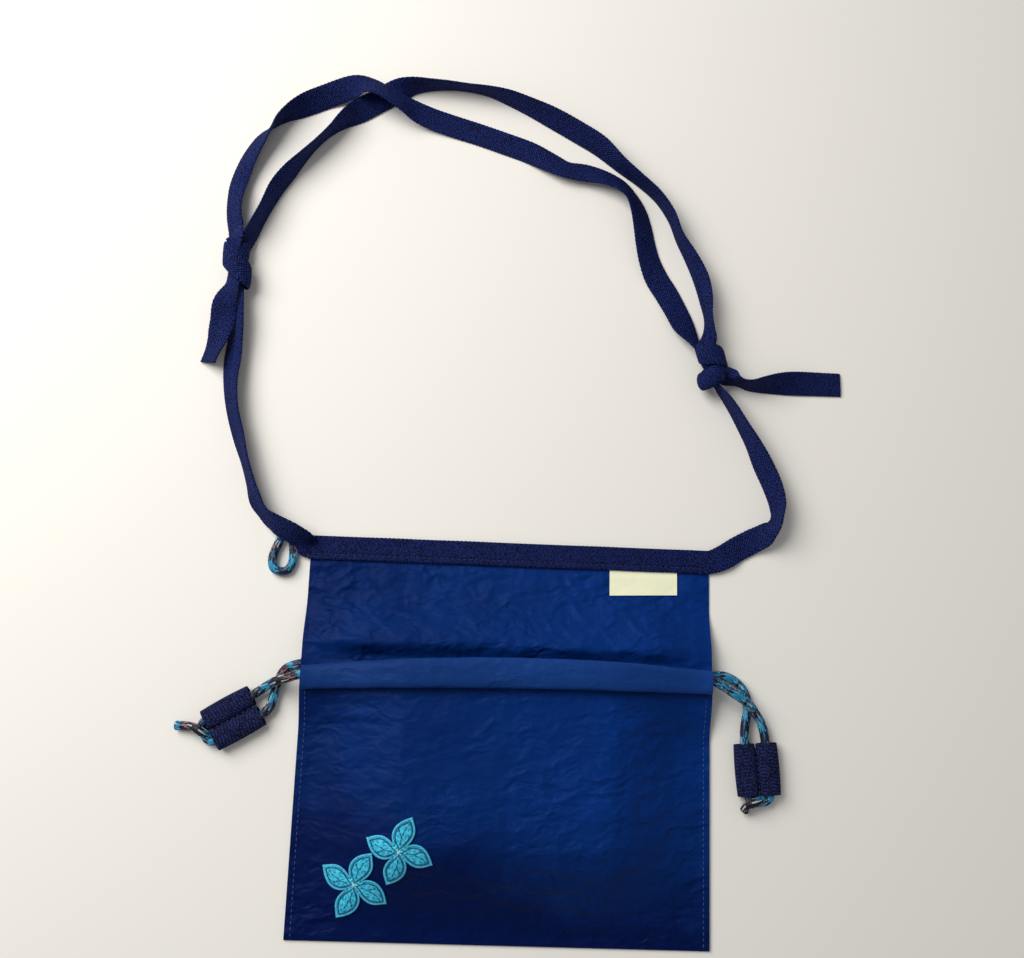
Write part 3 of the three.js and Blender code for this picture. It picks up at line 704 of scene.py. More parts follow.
@dataclass(frozen=True)
class RibbedWebbing(Finish):
    """Narrow polyester webbing: rows of plump yarn crowns, some pale and some dark."""

    name: str = "ribbed_polyester_webbing"
    shadow: str = "#020312"
    yarn: str = "#2a3570"
    crown_mm: float = 1.45
    row_mm: float = 0.75

    def look(self, add: Adder) -> Surface:
        """Near-black navy between the yarns and a fleck of lighter navy on each crown.

        Args:
            add: Adds a node to the material.

        Returns:
            The surface.
        """
        along, across = self.cloth_places(add)
        rows = add(MATH, [across, self.row_mm], "DIVIDE")
        row = add(MATH, [rows], "FLOOR")
        step = add(WHITE_NOISE, {"W": row}, noise_dimensions="1D")
        crowns = add(MATH, [along, self.crown_mm], "DIVIDE")
        shift = add(MATH, [step, crowns], "ADD")
        arches = []
        for run in (rows, shift):
            angle = add(MATH, [run, math.pi], "MULTIPLY")
            wave = add(MATH, [angle], "SINE")
            arches.append(add(MATH, [wave], "ABSOLUTE"))
        plump = add(MATH, arches, "MULTIPLY")
        seat = add(COMBINE, [row, add(MATH, [shift], "FLOOR")])
        tone = add(WHITE_NOISE, {"Vector": seat})
        shade = add(MATH, [tone, 0.7, 0.25], "MULTIPLY_ADD")
        lit = add(MATH, [plump, shade], "MULTIPLY")
        grain = add(MATH, [self.specks(add, 0.8, 2), 0.6, lit], "MULTIPLY_ADD")
        colour = add(RAMP, [grain], stops=((0.35, self.shadow), (1.0, self.yarn)))
        return Surface(colour, roughness=0.8, gloss=0.12, relief=grain, strength=0.8, depth_mm=0.3)


@dataclass(frozen=True)
class FleckedBraid(Finish):
    """Braided nylon cord of 4 mm: glossy azure and teal yarns, then dark stretches with pale flecks."""

    name: str = "flecked_nylon_braid"
    strands: int = 18
    lay_mm: float = 8.0
    fleck_mm: float = 3.2
    fleck_shift: float = 0.37
    stretch_mm: float = 6.0
    stretch_shift: float = 0.7
    dark_from: float = 0.46
    left_numbers: float = 31.0  # keeps the left-hand yarns' numbers apart from the right-hand ones'
    bright: Stops = (
        (0.0, "#2590cc"), (0.36, "#34a9c6"), (0.58, "#56bde2"),
        (0.70, "#155a9c"), (0.84, "#081026"), (0.95, "#b9d6e0"),
    )
    dark: Stops = (
        (0.0, "#050818"), (0.55, "#111a40"), (0.74, "#1f6fa8"), (0.86, "#a87480"), (0.93, "#c3ccd6"),
    )

    def look(self, add: Adder) -> Surface:
        """Each yarn keeps a colour for a while, shows where it lies on top, and is split into filaments.

        Args:
            add: Adds a node to the material.

        Returns:
            The surface.
        """
        along, around = self.cloth_places(add)
        strands = add(MATH, [around, self.strands], "MULTIPLY")
        laid = add(MATH, [along, self.lay_mm], "DIVIDE")
        sides = [add(MATH, [strands, laid], turn) for turn in ("ADD", "SUBTRACT")]
        yarns = [add(MATH, [side], "FLOOR") for side in sides]
        both = add(MATH, yarns, "ADD")
        over = add(MATH, [both, 2.0], "FLOORED_MODULO")
        right, left = (add(MATH, [yarn, self.strands], "FLOORED_MODULO") for yarn in yarns)
        left = add(MATH, [left, self.left_numbers], "ADD")
        top = add(MIX, {0: over, 2: right, 3: left}, data_type="FLOAT")
        start = add(MATH, [top, self.fleck_shift], "MULTIPLY")
        flecks = add(MATH, [along, 1 / self.fleck_mm, start], "MULTIPLY_ADD")
        seat = add(COMBINE, [top, add(MATH, [flecks], "FLOOR")])
        draw = add(WHITE_NOISE, {"Vector": seat})
        ragged = add(WHITE_NOISE, {"W": top}, noise_dimensions="1D")
        run = add(MATH, [along, self.stretch_mm], "DIVIDE")
        run = add(MATH, [ragged, self.stretch_shift, run], "MULTIPLY_ADD")
        phase = add(NOISE, {"W": run, "Scale": 1.0, "Detail": 0.0}, noise_dimensions="1D")
        night = add(MATH, [phase, self.dark_from], "GREATER_THAN")
        palettes = [add(RAMP, [draw], stops=stops, blend=Blend.STEPS) for stops in (self.bright, self.dark)]
        colour = add(MIX, {0: night, 6: palettes[0], 7: palettes[1]}, data_type="RGBA")
        across_yarn = add(MIX, {0: over, 2: sides[0], 3: sides[1]}, data_type="FLOAT")
        angle = add(MATH, [across_yarn, 2 * FULL_TURN], "MULTIPLY")
        filament = add(MATH, [angle], "SINE")
        shade = add(MATH, [filament, 0.3, 0.8], "MULTIPLY_ADD")
        inputs = {"Value": shade, "Color": colour.outputs[2]}
        return Surface(add("ShaderNodeHueSaturation", inputs), roughness=0.5, gloss=0.35)


@dataclass(frozen=True)
class EmbroideryThread(Finish):
    """Rayon embroidery thread: bright filaments laid side by side, glossy along their length."""

    name: str
    shade: str
    crown: str
    thread_mm: float
    stretch: float = 0.4

    def look(self, add: Adder) -> Surface:
        """Threads run along the piece's first texture place and differ a little in tone.

        Args:
            add: Adds a node to the material.

        Returns:
            The surface.
        """
        along, across = self.cloth_places(add)
        drawn_out = add(MATH, [along, self.stretch], "MULTIPLY")
        place = add(COMBINE, [drawn_out, across])
        threads = add(NOISE, {"Vector": place, "Scale": 1 / self.thread_mm, "Detail": 2.0})
        colour = add(RAMP, [threads], stops=((0.38, self.shade), (0.58, self.crown)))
        return Surface(colour, roughness=0.6, gloss=0.2, relief=threads, strength=0.8, depth_mm=0.25)


@dataclass(frozen=True)
class LabelSatin(Finish):
    """Woven satin label: fine yellow-green warp floats with a faint crosswise grain."""

    name: str = "woven_label_satin"
    ground: str = "#fafed2"
    warp: str = "#ffffea"
    pick_mm: float = 0.7

    def look(self, add: Adder) -> Surface:
        """Fine ribs across a pale ground.

        Args:
            add: Adds a node to the material.

        Returns:
            The surface.
        """
        _, across = self.cloth_places(add)
        angle = add(MATH, [across, FULL_TURN / self.pick_mm], "MULTIPLY")
        rib = add(MATH, [angle], "SINE")
        grain = add(MATH, [rib, 0.18, self.specks(add, 1.4, 3)], "MULTIPLY_ADD")
        colour = add(RAMP, [grain], stops=((0.3, self.ground), (0.7, self.warp)))
        return Surface(colour, roughness=0.55, relief=grain, strength=0.3, depth_mm=0.1)


@dataclass(frozen=True)
class SewingThread(Finish):
    """Spun polyester sewing thread: two tones of the cloth that it is sewn into, in short steps."""

    name: str
    colour: str
    fleck: str

    def look(self, add: Adder) -> Surface:
        """Two tones that change along the thread."""
        twist = self.specks(add, 0.5, 1)
        return Surface(add(RAMP, [twist], stops=((0.4, self.colour), (0.65, self.fleck))), roughness=0.6)


@dataclass(frozen=True)
class PaleCard(Finish):
    """The floor's matt card: one pale colour all over."""

    name: str = "pale_card"
    colour: str = "#f8f6f2"

    def look(self, add: Adder) -> Surface:
        """A plain surface without a pattern."""
        return Surface(self.colour, roughness=0.8, gloss=0.1)


class Wardrobe(Enum):
    """The finishes in use."""

    NYLON = CrinkledNylon()
    # The casing is the pouch's nylon in paler colours, which are painted light and sheen; it also takes the
    # nylon's painted shade
    CASING_NYLON_PAINTED_LIGHT = CrinkledNylon("taut_nylon_taffeta_painted_light", "#123676", "#19428e", "#0c2c6a", crinkle=0.6)
    TAPE = HerringboneTape()
    WEBBING = RibbedWebbing()
    BRAID = FleckedBraid()
    PETAL = EmbroideryThread("rayon_petal_fill", "#0a86ba", "#4cd8f6", 0.62)
    RIM = EmbroideryThread("rayon_satin_rim", "#28a8d8", "#5cd2f4", 0.45)
    OUTLINE = SewingThread("navy_outline_thread", "#10345e", "#1b4f80")
    KNOT = SewingThread("pale_knot_thread", "#6cc9de", "#a7e6f0")
    SEAM = SewingThread("blue_seam_thread", "#1c3478", "#3c5aa6")
    DARK_SEAM = SewingThread("navy_seam_thread", "#0a1440", "#182458")
    LABEL = LabelSatin()
    FLOOR = PaleCard()

    @property
    def material(self) -> Material:
        """The finish's material, built when it is first asked for."""
        return bpy.data.materials.get(self.value.name) or self.value.build()


# Sewing


@dataclass
class StitchRow:
    """Lockstitches along lines, made by a node tree with the stitch's sizes as inputs."""

    pitch: float
    length: float
    thread: float
    wander: float = 0.08
    seed: int = 7

    TREE_NAME = "stitch_row"
    SEGMENTS = 8
    RINGS = 6
    SOCKETS = (
        ("Lines", "Geometry"), ("Pitch", "Float"), ("Stitch Length", "Float"), ("Thread", "Float"),
        ("Wander", "Float"), ("Seed", "Int"), ("Material", "Material"),
    )

    def tree(self) -> Tree:
        """Builds the node tree on the first call: lines to even points to one stitch on each.

        Returns:
            The node tree.
        """
        if self.TREE_NAME in bpy.data.node_groups:
            return bpy.data.node_groups[self.TREE_NAME]
        tree = bpy.data.node_groups.new(self.TREE_NAME, "GeometryNodeTree")
        for name, kind in self.SOCKETS:
            tree.interface.new_socket(name, in_out="INPUT", socket_type=f"NodeSocket{kind}")
        tree.interface.new_socket("Stitches", in_out="OUTPUT", socket_type="NodeSocketGeometry")
        add = partial(add_node, tree)
        source = add("NodeGroupInput").outputs
        curve = add("GeometryNodeMeshToCurve", {"Mesh": source["Lines"]})
        inputs = {"Curve": curve, "Length": source["Pitch"]}
        even = add("GeometryNodeResampleCurve", inputs, mode="LENGTH")
        tangent = add("GeometryNodeInputTangent")
        inputs = {0: (-1.0,) * 3, 1: (1.0,) * 3, "Seed": source["Seed"]}
        stray = add("FunctionNodeRandomValue", inputs, data_type="FLOAT_VECTOR")
        slant = add(VECTOR_MATH, {0: stray, "Scale": source["Wander"]}, "SCALE")
        lean = add(VECTOR_MATH, [tangent, slant], "ADD")
        aim = add("FunctionNodeAlignRotationToVector", {"Vector": lean}, axis="Z")
        half = add(MATH, [source["Stitch Length"], 0.5], "MULTIPLY")
        size = add(COMBINE, [source["Thread"], source["Thread"], half])
        inputs = {"Segments": self.SEGMENTS, "Rings": self.RINGS, "Radius": 1.0}
        bead = add("GeometryNodeMeshUVSphere", inputs)
        inputs = {"Points": even, "Instance": bead, "Rotation": aim, "Scale": size}
        sown = add("GeometryNodeInstanceOnPoints", inputs)
        real = add("GeometryNodeRealizeInstances", {"Geometry": sown})
        inputs = {"Geometry": real, "Material": source["Material"]}
        dyed = add("GeometryNodeSetMaterial", inputs)
        add("NodeGroupOutput", {"Stitches": dyed})
        return tree

    def sew(self, name: str, lines: list[Array], thread: Wardrobe) -> Piece:
        """Sews stitches along lines.

        Args:
            name: Name of the piece.
            lines: Lines of points in millimetres.
            thread: The thread's finish.

        Returns:
            A plain mesh of all the stitches.
        """
        edges, first = [], 0
        for line in lines:
            edges += [(i, i + 1) for i in range(first, first + len(line) - 1)]
            first += len(line)
        guide = bpy.data.meshes.new(name + "_guide")
        guide.from_pydata((np.vstack(lines) * MM).tolist(), edges, [])
        piece = bpy.data.objects.new(name, guide)
        bpy.context.scene.collection.objects.link(piece)
        modifier = piece.modifiers.new("stitches", "NODES")
        modifier.node_group = self.tree()
        values = {
            "Pitch": self.pitch * MM, "Stitch Length": self.length * MM, "Thread": self.thread * MM / 2,
            "Wander": self.wander, "Seed": self.seed, "Material": thread.material,
        }
        for item in modifier.node_group.interface.items_tree:
            if item.in_out == "INPUT" and item.name in values:
                modifier[item.identifier] = values[item.name]
        depsgraph = bpy.context.evaluated_depsgraph_get()
        mesh = bpy.data.meshes.new_from_object(piece.evaluated_get(depsgraph))
        mesh.name = name
        mesh.polygons.foreach_set("use_smooth", np.ones(len(mesh.polygons), bool))
        piece.modifiers.remove(modifier)
        piece.data = mesh
        bpy.data.meshes.remove(guide)
        return piece


# The cloth


@dataclass(frozen=True)
class FlowerSite:
    """Where a flower patch is sewn: its middle, the turn of its first petal and its petals' length."""

    x: float
    y: float
    turn: float
    reach: float


FLOWERS = {
    "flower_patch_lower": FlowerSite(-61.3, -62.0, 62.5, 15.0),
    "flower_patch_upper": FlowerSite(-42.7, -46.8, 70.5, 14.2),
}


@dataclass(frozen=True)
class Crumple:
    """One size of wrinkle: its height, its size across and along the cloth, and where its noise begins."""

    height: float
    across: float
    along: float
    start_x: float
    start_y: float

    def over(self, noise: Callable[[Array, Array], Array], x: Array, y: Array) -> Array:
        """Heights of a kind of noise at points of the cloth."""
        return self.height * noise(x / self.across + self.start_x, y / self.along + self.start_y)


@dataclass(frozen=True)
class Crease:
    """A long crease that stands out: half its width, its depth and its line on the cloth."""

    width: float
    depth: float
    line: tuple[Pair, ...]


@dataclass
class PouchCloth:
    """The folded nylon sheet: back panel, bottom fold and front panel, sewn flat at both sides."""

    cloth: float = 0.56
    ply: float = 0.6
    seam: float = 3.0
    side_ramp: float = 46.0
    bottom_ramp: float = 42.0
    back_ramp: float = 22.0
    rear_casing_y: float = 29.0
    rear_casing_gap: float = 0.3
    rise_half: float = 7.5
    mouth_y: float = 31.0
    under_mouth: float = 6.0
    fold: float = 1.2
    fold_rows: int = 4
    columns: int = 200
    shown_rows: int = 58
    hidden_rows: int = 38
    front_rows: int = 120
    seed: int = 11

    wave: Crumple = Crumple(0.6, 38.0, 19.0, 3.1, 1.7)
    crinkles: tuple[Crumple, ...] = (
        Crumple(0.6, 22.0, 13.0, 8.2, 2.4),
        Crumple(0.3, 10.5, 7.5, 20.5, 12.9),
        Crumple(0.12, 5.2, 4.2, 41.3, 30.6),
    )
    edge_wave: Crumple = Crumple(0.05, 14.0, 60.0, 40.2, 3.3)
    crease_samples: int = 12
    crease_lines: tuple[Crease, ...] = (
        Crease(1.5, 0.9, ((-68, 74), (-76, 69), (-85, 64))),
        Crease(1.2, 1.0, ((22, 73), (29, 64), (34, 59), (42, 56))),
        Crease(1.0, 0.7, ((50, 55), (57, 47), (66, 40))),
        Crease(1.1, 0.6, ((-24, 71), (-18, 64), (-15, 60))),
        Crease(1.6, 0.8, ((-84, 12), (-66, 14), (-52, 10))),
        Crease(1.8, 0.7, ((-80, 4), (-60, 6), (-46, 2))),
    )

    front_gain: float = 0.7
    front_sides: Pair = (2.2, 9.0)
    front_bottom: Pair = (0.8, 8.0)
    patch_share: float = 0.25
    patch_from: float = 0.8
    patch_past: float = 5.0
    below_casing: Pair = (-14.0, -6.0)

    upper_gain: float = 1.2
    upper_lie: float = 0.55
    upper_shift: Pair = (130.0, 60.0)
    upper_mouth: Pair = (-4.0, 8.0)
    upper_tape: Pair = (-0.5, 4.0)
    upper_sides: Pair = (0.5, 8.0)
    hump_height: float = 3.8
    hump_rise: Pair = (1.5, 8.5)
    hump_fall: float = 8.0
    hump_tape: float = 2.0
    hump_sides: Pair = (0.5, 28.0)
    label_press: float = 0.85
    label_fade: float = 3.5
    pucker_pitch: float = 3.4
    pucker_depth: float = 0.24
    pucker_fade: float = 1.7
    pucker_sway: Crumple = Crumple(5.0, 11.0, 1.0, 2.2, 7.4)
    pucker_tape: Pair = (-0.6, 0.8)

    def __post_init__(self) -> None:
        """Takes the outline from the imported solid."""
        low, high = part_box("pouch_body")
        self.half_width = high.x / MM
        self.bottom, self.top = low.y / MM, high.y / MM
        self.pocket_top = high.z / MM
        self.back_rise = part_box("rear_casing")[1].z / MM + self.rear_casing_gap
        self.tape_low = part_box("top_tape")[0].y / MM
        self.label_low, self.label_high = (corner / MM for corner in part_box("label"))
        self.field = CrinkleField(self.seed)

    def back_height(self, y: Array) -> Array:
        """Height of the back panel's underside, lifted over the rear casing."""
        away = np.abs(y - self.rear_casing_y) - self.rise_half
        return self.back_rise * (1 - smoothstep(away, 0, self.back_ramp))

    def front_height(self, x: Array, y: Array) -> Array:
        """Height of the front panel's outer face without wrinkles.

        Args:
            x: Places across the pouch.
            y: Places up the pouch.

        Returns:
            The heights.
        """
        seam = self.back_height(y) + 2 * self.ply
        across = smoothstep(self.half_width - self.seam - np.abs(x), 0, self.side_ramp)
        along = smoothstep(y - self.bottom - self.fold, 0, self.bottom_ramp)
        return seam + (self.pocket_top - seam) * across * along

    def crumple(self, x: Array, y: Array) -> Array:
        """Soft waves and three sizes of washed-in creases, from about -1 to 1 millimetre."""
        waves = self.wave.over(self.field.smooth, x, y)
        return sum((crinkle.over(self.field.creased, x, y) for crinkle in self.crinkles), waves)

    def creases(self, x: Array, y: Array) -> Array:
        """The few long creases that stand out, each a ridge beside a valley.

        Args:
            x: Places across the pouch.
            y: Places up the pouch.

        Returns:
            The heights that they add.
        """
        total = np.zeros_like(x)
        for crease in self.crease_lines:
            path = flow_through(np.array([(*place, 0) for place in crease.line], float), self.crease_samples)
            heading = tangents(path)
            offset = np.stack([x, y], axis=-1)[..., None, :] - path[:, :2]
            nearest = np.argmin(np.linalg.norm(offset, axis=-1), axis=-1)
            close = np.take_along_axis(offset, nearest[..., None, None], axis=-2)[..., 0, :]
            side = heading[nearest, 0] * close[..., 1] - heading[nearest, 1] * close[..., 0]
            fade = np.sin(np.pi * (nearest + 1) / (len(path) + 1))
            gap = np.linalg.norm(close, axis=-1)
            total += crease.depth * fade * (side / crease.width) * np.exp(0.5 - (gap / crease.width) ** 2)
        return total

    def freedom(self, x: Array, y: Array) -> Array:
        """How free the front panel is to wrinkle.

        Args:
            x: Places across the pouch.
            y: Places up the pouch.

        Returns:
            1 on free cloth, 0 at the seams and below the casing, a fraction under the patches.
        """
        free = smoothstep(self.half_width - np.abs(x), *self.front_sides)
        free = free * smoothstep(y - self.bottom, *self.front_bottom)
        for site in FLOWERS.values():
            gap = np.hypot(x - site.x, y - site.y)
            clear = smoothstep(gap, site.reach * self.patch_from, site.reach + self.patch_past)
            free = free * (self.patch_share + (1 - self.patch_share) * clear)
        return free * (1 - smoothstep(y - self.mouth_y, *self.below_casing))

    def front_surface(self, x: Array, y: Array) -> Array:
        """Height of the front panel's outer face with its wrinkles."""
        edge = self.edge_wave.over(self.field.smooth, y, x)
        return self.front_height(x, y) + self.freedom(x, y) * (
            self.front_gain * self.crumple(x, y) + self.creases(x, y) + edge
        )

    def hump(self, y: Array) -> Array:
        """How far the shown part of the back panel bulges up between the mouth and the tape."""
        rise = smoothstep(y - self.mouth_y, *self.hump_rise)
        return self.hump_height * rise * (
            1 - smoothstep(y, self.mouth_y + self.hump_fall, self.tape_low - self.hump_tape)
        )

    def under_label(self, x: Array, y: Array) -> Array:
        """1 under the label, falling to 0 a little way off."""
        across = np.maximum(self.label_low.x - x, x - self.label_high.x)
        return 1 - smoothstep(np.maximum(across, self.label_low.y - y), 0.0, self.label_fade)

    def back_lift(self, x: Array, y: Array) -> Array:
        """How far the back panel's bulge, wrinkles and puckers lift it off the surface that it lies on.

        Args:
            x: Places across the pouch.
            y: Places up the pouch.

        Returns:
            The heights that they add.
        """
        below = self.tape_low - y
        inside = self.half_width - np.abs(x)
        shown = smoothstep(y - self.mouth_y, *self.upper_mouth) * smoothstep(below, *self.upper_tape)
        free = smoothstep(inside, *self.upper_sides) * (1 - self.label_press * self.under_label(x, y))
        shift_x, shift_y = self.upper_shift
        wrinkle = self.upper_gain * (self.crumple(x + shift_x, y + shift_y) + self.creases(x, y))
        lift = np.maximum(shown * free * (self.upper_lie + wrinkle), 0)
        lift += smoothstep(inside, *self.hump_sides) * self.hump(y)
        sway = self.pucker_sway.over(self.field.smooth, x, np.zeros_like(x))
        drawn = smoothstep(below, *self.pucker_tape) * np.exp(-np.maximum(below, 0) / self.pucker_fade)
        pucker = 0.5 + 0.5 * np.sin(FULL_TURN * x / self.pucker_pitch + sway)
        return lift + self.pucker_depth * free * drawn * pucker

    def back_surface(self, x: Array, y: Array) -> Array:
        """Height of the back panel's shown face."""
        return self.back_height(y) + self.back_lift(x, y) + self.ply

    def build(self) -> None:
        xs = np.linspace(-self.half_width, self.half_width, self.columns)
        bend = self.ply / 2
        hidden_from = self.mouth_y - self.under_mouth
        shown_ys = np.linspace(self.top, hidden_from, self.shown_rows)
        hidden_ys = np.linspace(hidden_from, self.bottom + bend, self.hidden_rows)
        back_x, back_y = np.meshgrid(xs, np.concatenate([shown_ys, hidden_ys[1:]]))
        front_x, front_y = np.meshgrid(xs, np.linspace(self.bottom + bend, self.mouth_y, self.front_rows))
        fold_x, angle = np.meshgrid(xs, np.linspace(0, np.pi, self.fold_rows + 2)[1:-1])
        parts = (
            (back_x, back_y, self.back_height(back_y) + self.back_lift(back_x, back_y) + bend),
            (fold_x, self.bottom + bend - bend * np.sin(angle), self.ply - bend * np.cos(angle)),
            (front_x, front_y, self.front_surface(front_x, front_y) - bend),
        )
        grid = np.vstack([np.stack(part, axis=-1) for part in parts])
        along = travel(grid[:, self.columns // 2])
        draft = MeshDraft()
        draft.add_shell(grid, self.cloth, along, xs)
        piece = draft.build("pouch_cloth", Wardrobe.NYLON, sharp=CLOTH_EDGE)
        settle(piece, Body.POUCH, Slot.NYLON, "pouch_body")


@dataclass
class CasingTube:
    """A cloth tube sewn along the mouth, open at both ends for the drawcord."""

    cloth: PouchCloth
    name: str = ""
    node: str = ""
    width: float = 13.0
    height: float = 5.8
    wall: float = 0.45
    squareness: float = 2.9
    taper: float = 0.22
    around: int = 64
    along: int = 190
    seed: int = 5
    puckers: tuple[tuple[float, float, float, float], ...] = (
        (0.5, 16.0, 4.0, 3.3), (0.25, 5.0, 6.0, 9.1),  # height, length, count round the tube, start
    )
    wider: float = 0.35
    higher: float = 0.3
    end_share: float = 0.25
    end_length: float = 6.0
    cut_share: float = 0.9

    def middle(self, x: Array) -> tuple[Array, Array]:
        """The tube's middle line: y and z at each place across the pouch."""
        raise NotImplementedError

    def build(self) -> None:
        """Builds the tube with small puckers along it."""
        low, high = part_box(self.node)
        half_length = high.x / MM
        xs = np.linspace(low.x / MM, half_length, self.along)
        ys, zs = self.middle(xs)
        across, up = squared_ring(np.linspace(0, FULL_TURN, self.around, endpoint=False), self.squareness)
        x, share = np.meshgrid(xs, np.arange(self.around) / self.around, indexing="ij")
        mirrored = np.abs(2 * share - 1)
        noise = CrinkleField(self.seed)
        swell = sum(
            height * noise.smooth(x / length, count * mirrored + start)
            for height, length, count, start in self.puckers
        )
        freed = smoothstep(half_length - np.abs(x), 0, self.end_length)
        swell *= self.end_share + (1 - self.end_share) * freed
        narrowed = self.width / 2 * self.taper * (x / half_length) ** 2
        half_width = self.width / 2 - narrowed - self.wall / 2 + self.wider * swell
        half_height = self.height / 2 - self.wall / 2 + self.higher * swell
        y = ys[:, None] - narrowed + half_width * across
        grid = np.stack([x, y, zs[:, None] + half_height * up], axis=-1)
        girth = 2 * (self.width + self.height)
        draft = MeshDraft()
        draft.add_shell(grid[:, ::-1], self.wall, xs, np.linspace(0, girth, self.around + 1), wrap=True)
        piece = draft.build(self.name, Wardrobe.CASING_NYLON_PAINTED_LIGHT, sharp=CLOTH_EDGE)
        settle(piece, Body.POUCH, Slot.NYLON, self.node)


@dataclass
class FrontCasing(CasingTube):
    """The casing on the front panel's edge, bowed and arched over the open mouth."""

    name: str = "front_casing_cloth"
    node: str = "front_casing"
    base_y: float = 26.0
    bow: float = 1.5
    slope: float = 1.8
    half_length: float = 89.0
    lift: float = 0.3

    def middle(self, x: Array) -> tuple[Array, Array]:
        """Follows the front panel's edge.

        Args:
            x: Places across the pouch.

        Returns:
            y and z at each place.
        """
        share = x / self.half_length
        y = self.base_y + self.bow * (1 - share**2) + self.slope * share
        z = self.cloth.front_height(x, np.full_like(x, self.cloth.mouth_y)) + self.lift + self.height / 2
        return y, z


@dataclass
class RearCasing(CasingTube):
    """The straight casing behind the back panel, which lies on the surface."""

    name: str = "rear_casing_cloth"
    node: str = "rear_casing"
    along: int = 110
    seed: int = 6

    def middle(self, x: Array) -> tuple[Array, Array]:
        """Straight across, half its height above the surface."""
        return np.full_like(x, self.cloth.rear_casing_y), np.full_like(x, self.height / 2)


# Tape and strap


@dataclass(frozen=True)
class StrapKnot:
    """A sliding knot: one tape end wrapped round the other run. Wraps are given round the knot's axis."""

    x: float
    y: float
    turn: float
    height: float = 5.7
    flatness: float = 0.8
    lowest: float = 0.7

    def station(self, wrap: Wrap) -> Station:
        """A tape station on the knot.

        Args:
            wrap: Place round the axis, 0 to the right and 90 on top, place along it, distance from the axis
                to the tape's middle, and the tape's width.

        Returns:
            Place, outward direction and width.
        """
        degrees, along, radius, width = wrap
        right, up = math.cos(math.radians(degrees)), math.sin(math.radians(degrees))
        place = turned((radius * right, along, radius * self.flatness * up), self.turn)
        z = max(self.height + place[2], self.lowest)
        return [self.x + place[0], self.y + place[1], z, *turned((right, 0, up), self.turn), width]


LEFT_KNOT = StrapKnot(-132.5, 210.0, 2.0)
RIGHT_KNOT = StrapKnot(89.6, 171.4, 14.0)

LEFT_WRAPS: tuple[Wrap, ...] = (
    (118, 13.5, 3.4, 10.0), (128, 8.5, 3.2, 8.5), (150, 3.0, 3.0, 8.0), (190, -0.5, 3.4, 8.0),
    (240, -2.5, 4.2, 8.0), (285, -4.5, 4.6, 8.5), (330, -6.2, 5.5, 9.5), (372, -6.4, 6.4, 10.5),
    (410, -4.4, 6.8, 11.0), (450, -0.4, 7.0, 11.5), (490, 3.4, 6.8, 11.0), (530, 6.0, 6.3, 10.0),
    (575, 7.6, 5.8, 9.0), (630, 8.0, 5.9, 8.5), (680, 8.0, 5.2, 8.5), (730, 7.0, 4.4, 8.0),
    (780, 4.0, 3.8, 7.5), (812, 0.0, 3.0, 7.5), (835, -5.0, 2.8, 8.0), (842, -10.5, 3.6, 9.0),
)
RIGHT_WRAPS: tuple[Wrap, ...] = (
    (95, 8.5, 3.2, 7.0), (140, 3.0, 3.0, 7.5), (195, 2.5, 3.4, 7.5), (205, 5.0, 3.8, 8.0),
    (180, 6.4, 4.6, 8.5), (140, 6.2, 5.9, 9.5), (92, 4.8, 7.0, 10.0), (50, 3.0, 7.6, 9.5), (5, 1.2, 7.2, 8.5),
    (-45, -0.8, 6.0, 8.0), (-90, -3.0, 5.4, 8.0), (-140, -5.0, 6.4, 7.5), (-180, -6.4, 7.4, 8.4),
    (-215, -6.8, 7.8, 9.2), (-250, -6.2, 7.2, 9.6), (-285, -4.8, 6.8, 8.4), (-310, -5.2, 7.0, 7.4),
)
LEFT_RISER_ROUTE: tuple[RoutePoint, ...] = (
    (-90.3, 79.9, 0, 0.9), (-94.6, 83.4, -30, 3.2), (-98, 85.4, -42, 4.5), (-102, 87.2, -44, 4.5),
    (-106, 89.4, -50, 3.4), (-109.6, 92, -59, 1), (-112.6, 95.4, -62, 0), (-115.6, 100, -55, 0),
    (-118.4, 108, -63, 0), (-121.6, 117.4, -65, 0), (-125.4, 128.6, -56, 0), (-129.3, 141.4, -53, 0),
    (-131.2, 153, -47, 0), (-131.4, 165, -37, 0), (-130.8, 176, -44, 0), (-130.8, 188, -52, 0),
)
RIGHT_RISER_ROUTE: tuple[RoutePoint, ...] = (
    (90.3, 79.9, 0, 0.9), (96.4, 82.6, -4, 0.6), (103, 86.8, 0, 0.3), (109.5, 90.4, -5, 0),
    (115, 93.4, -24, 0), (118.4, 97, -62, 0), (120.3, 101.4, -76, 0), (120.6, 107.4, -66, 0),
    (118.6, 115.4, -57, 0), (114.2, 125.6, -56, 0), (109.6, 135.2, -70, 0), (104.8, 143.7, -79, 0),
    (100.4, 151.4, -84, 0), (97.4, 156, -88, 0),
)
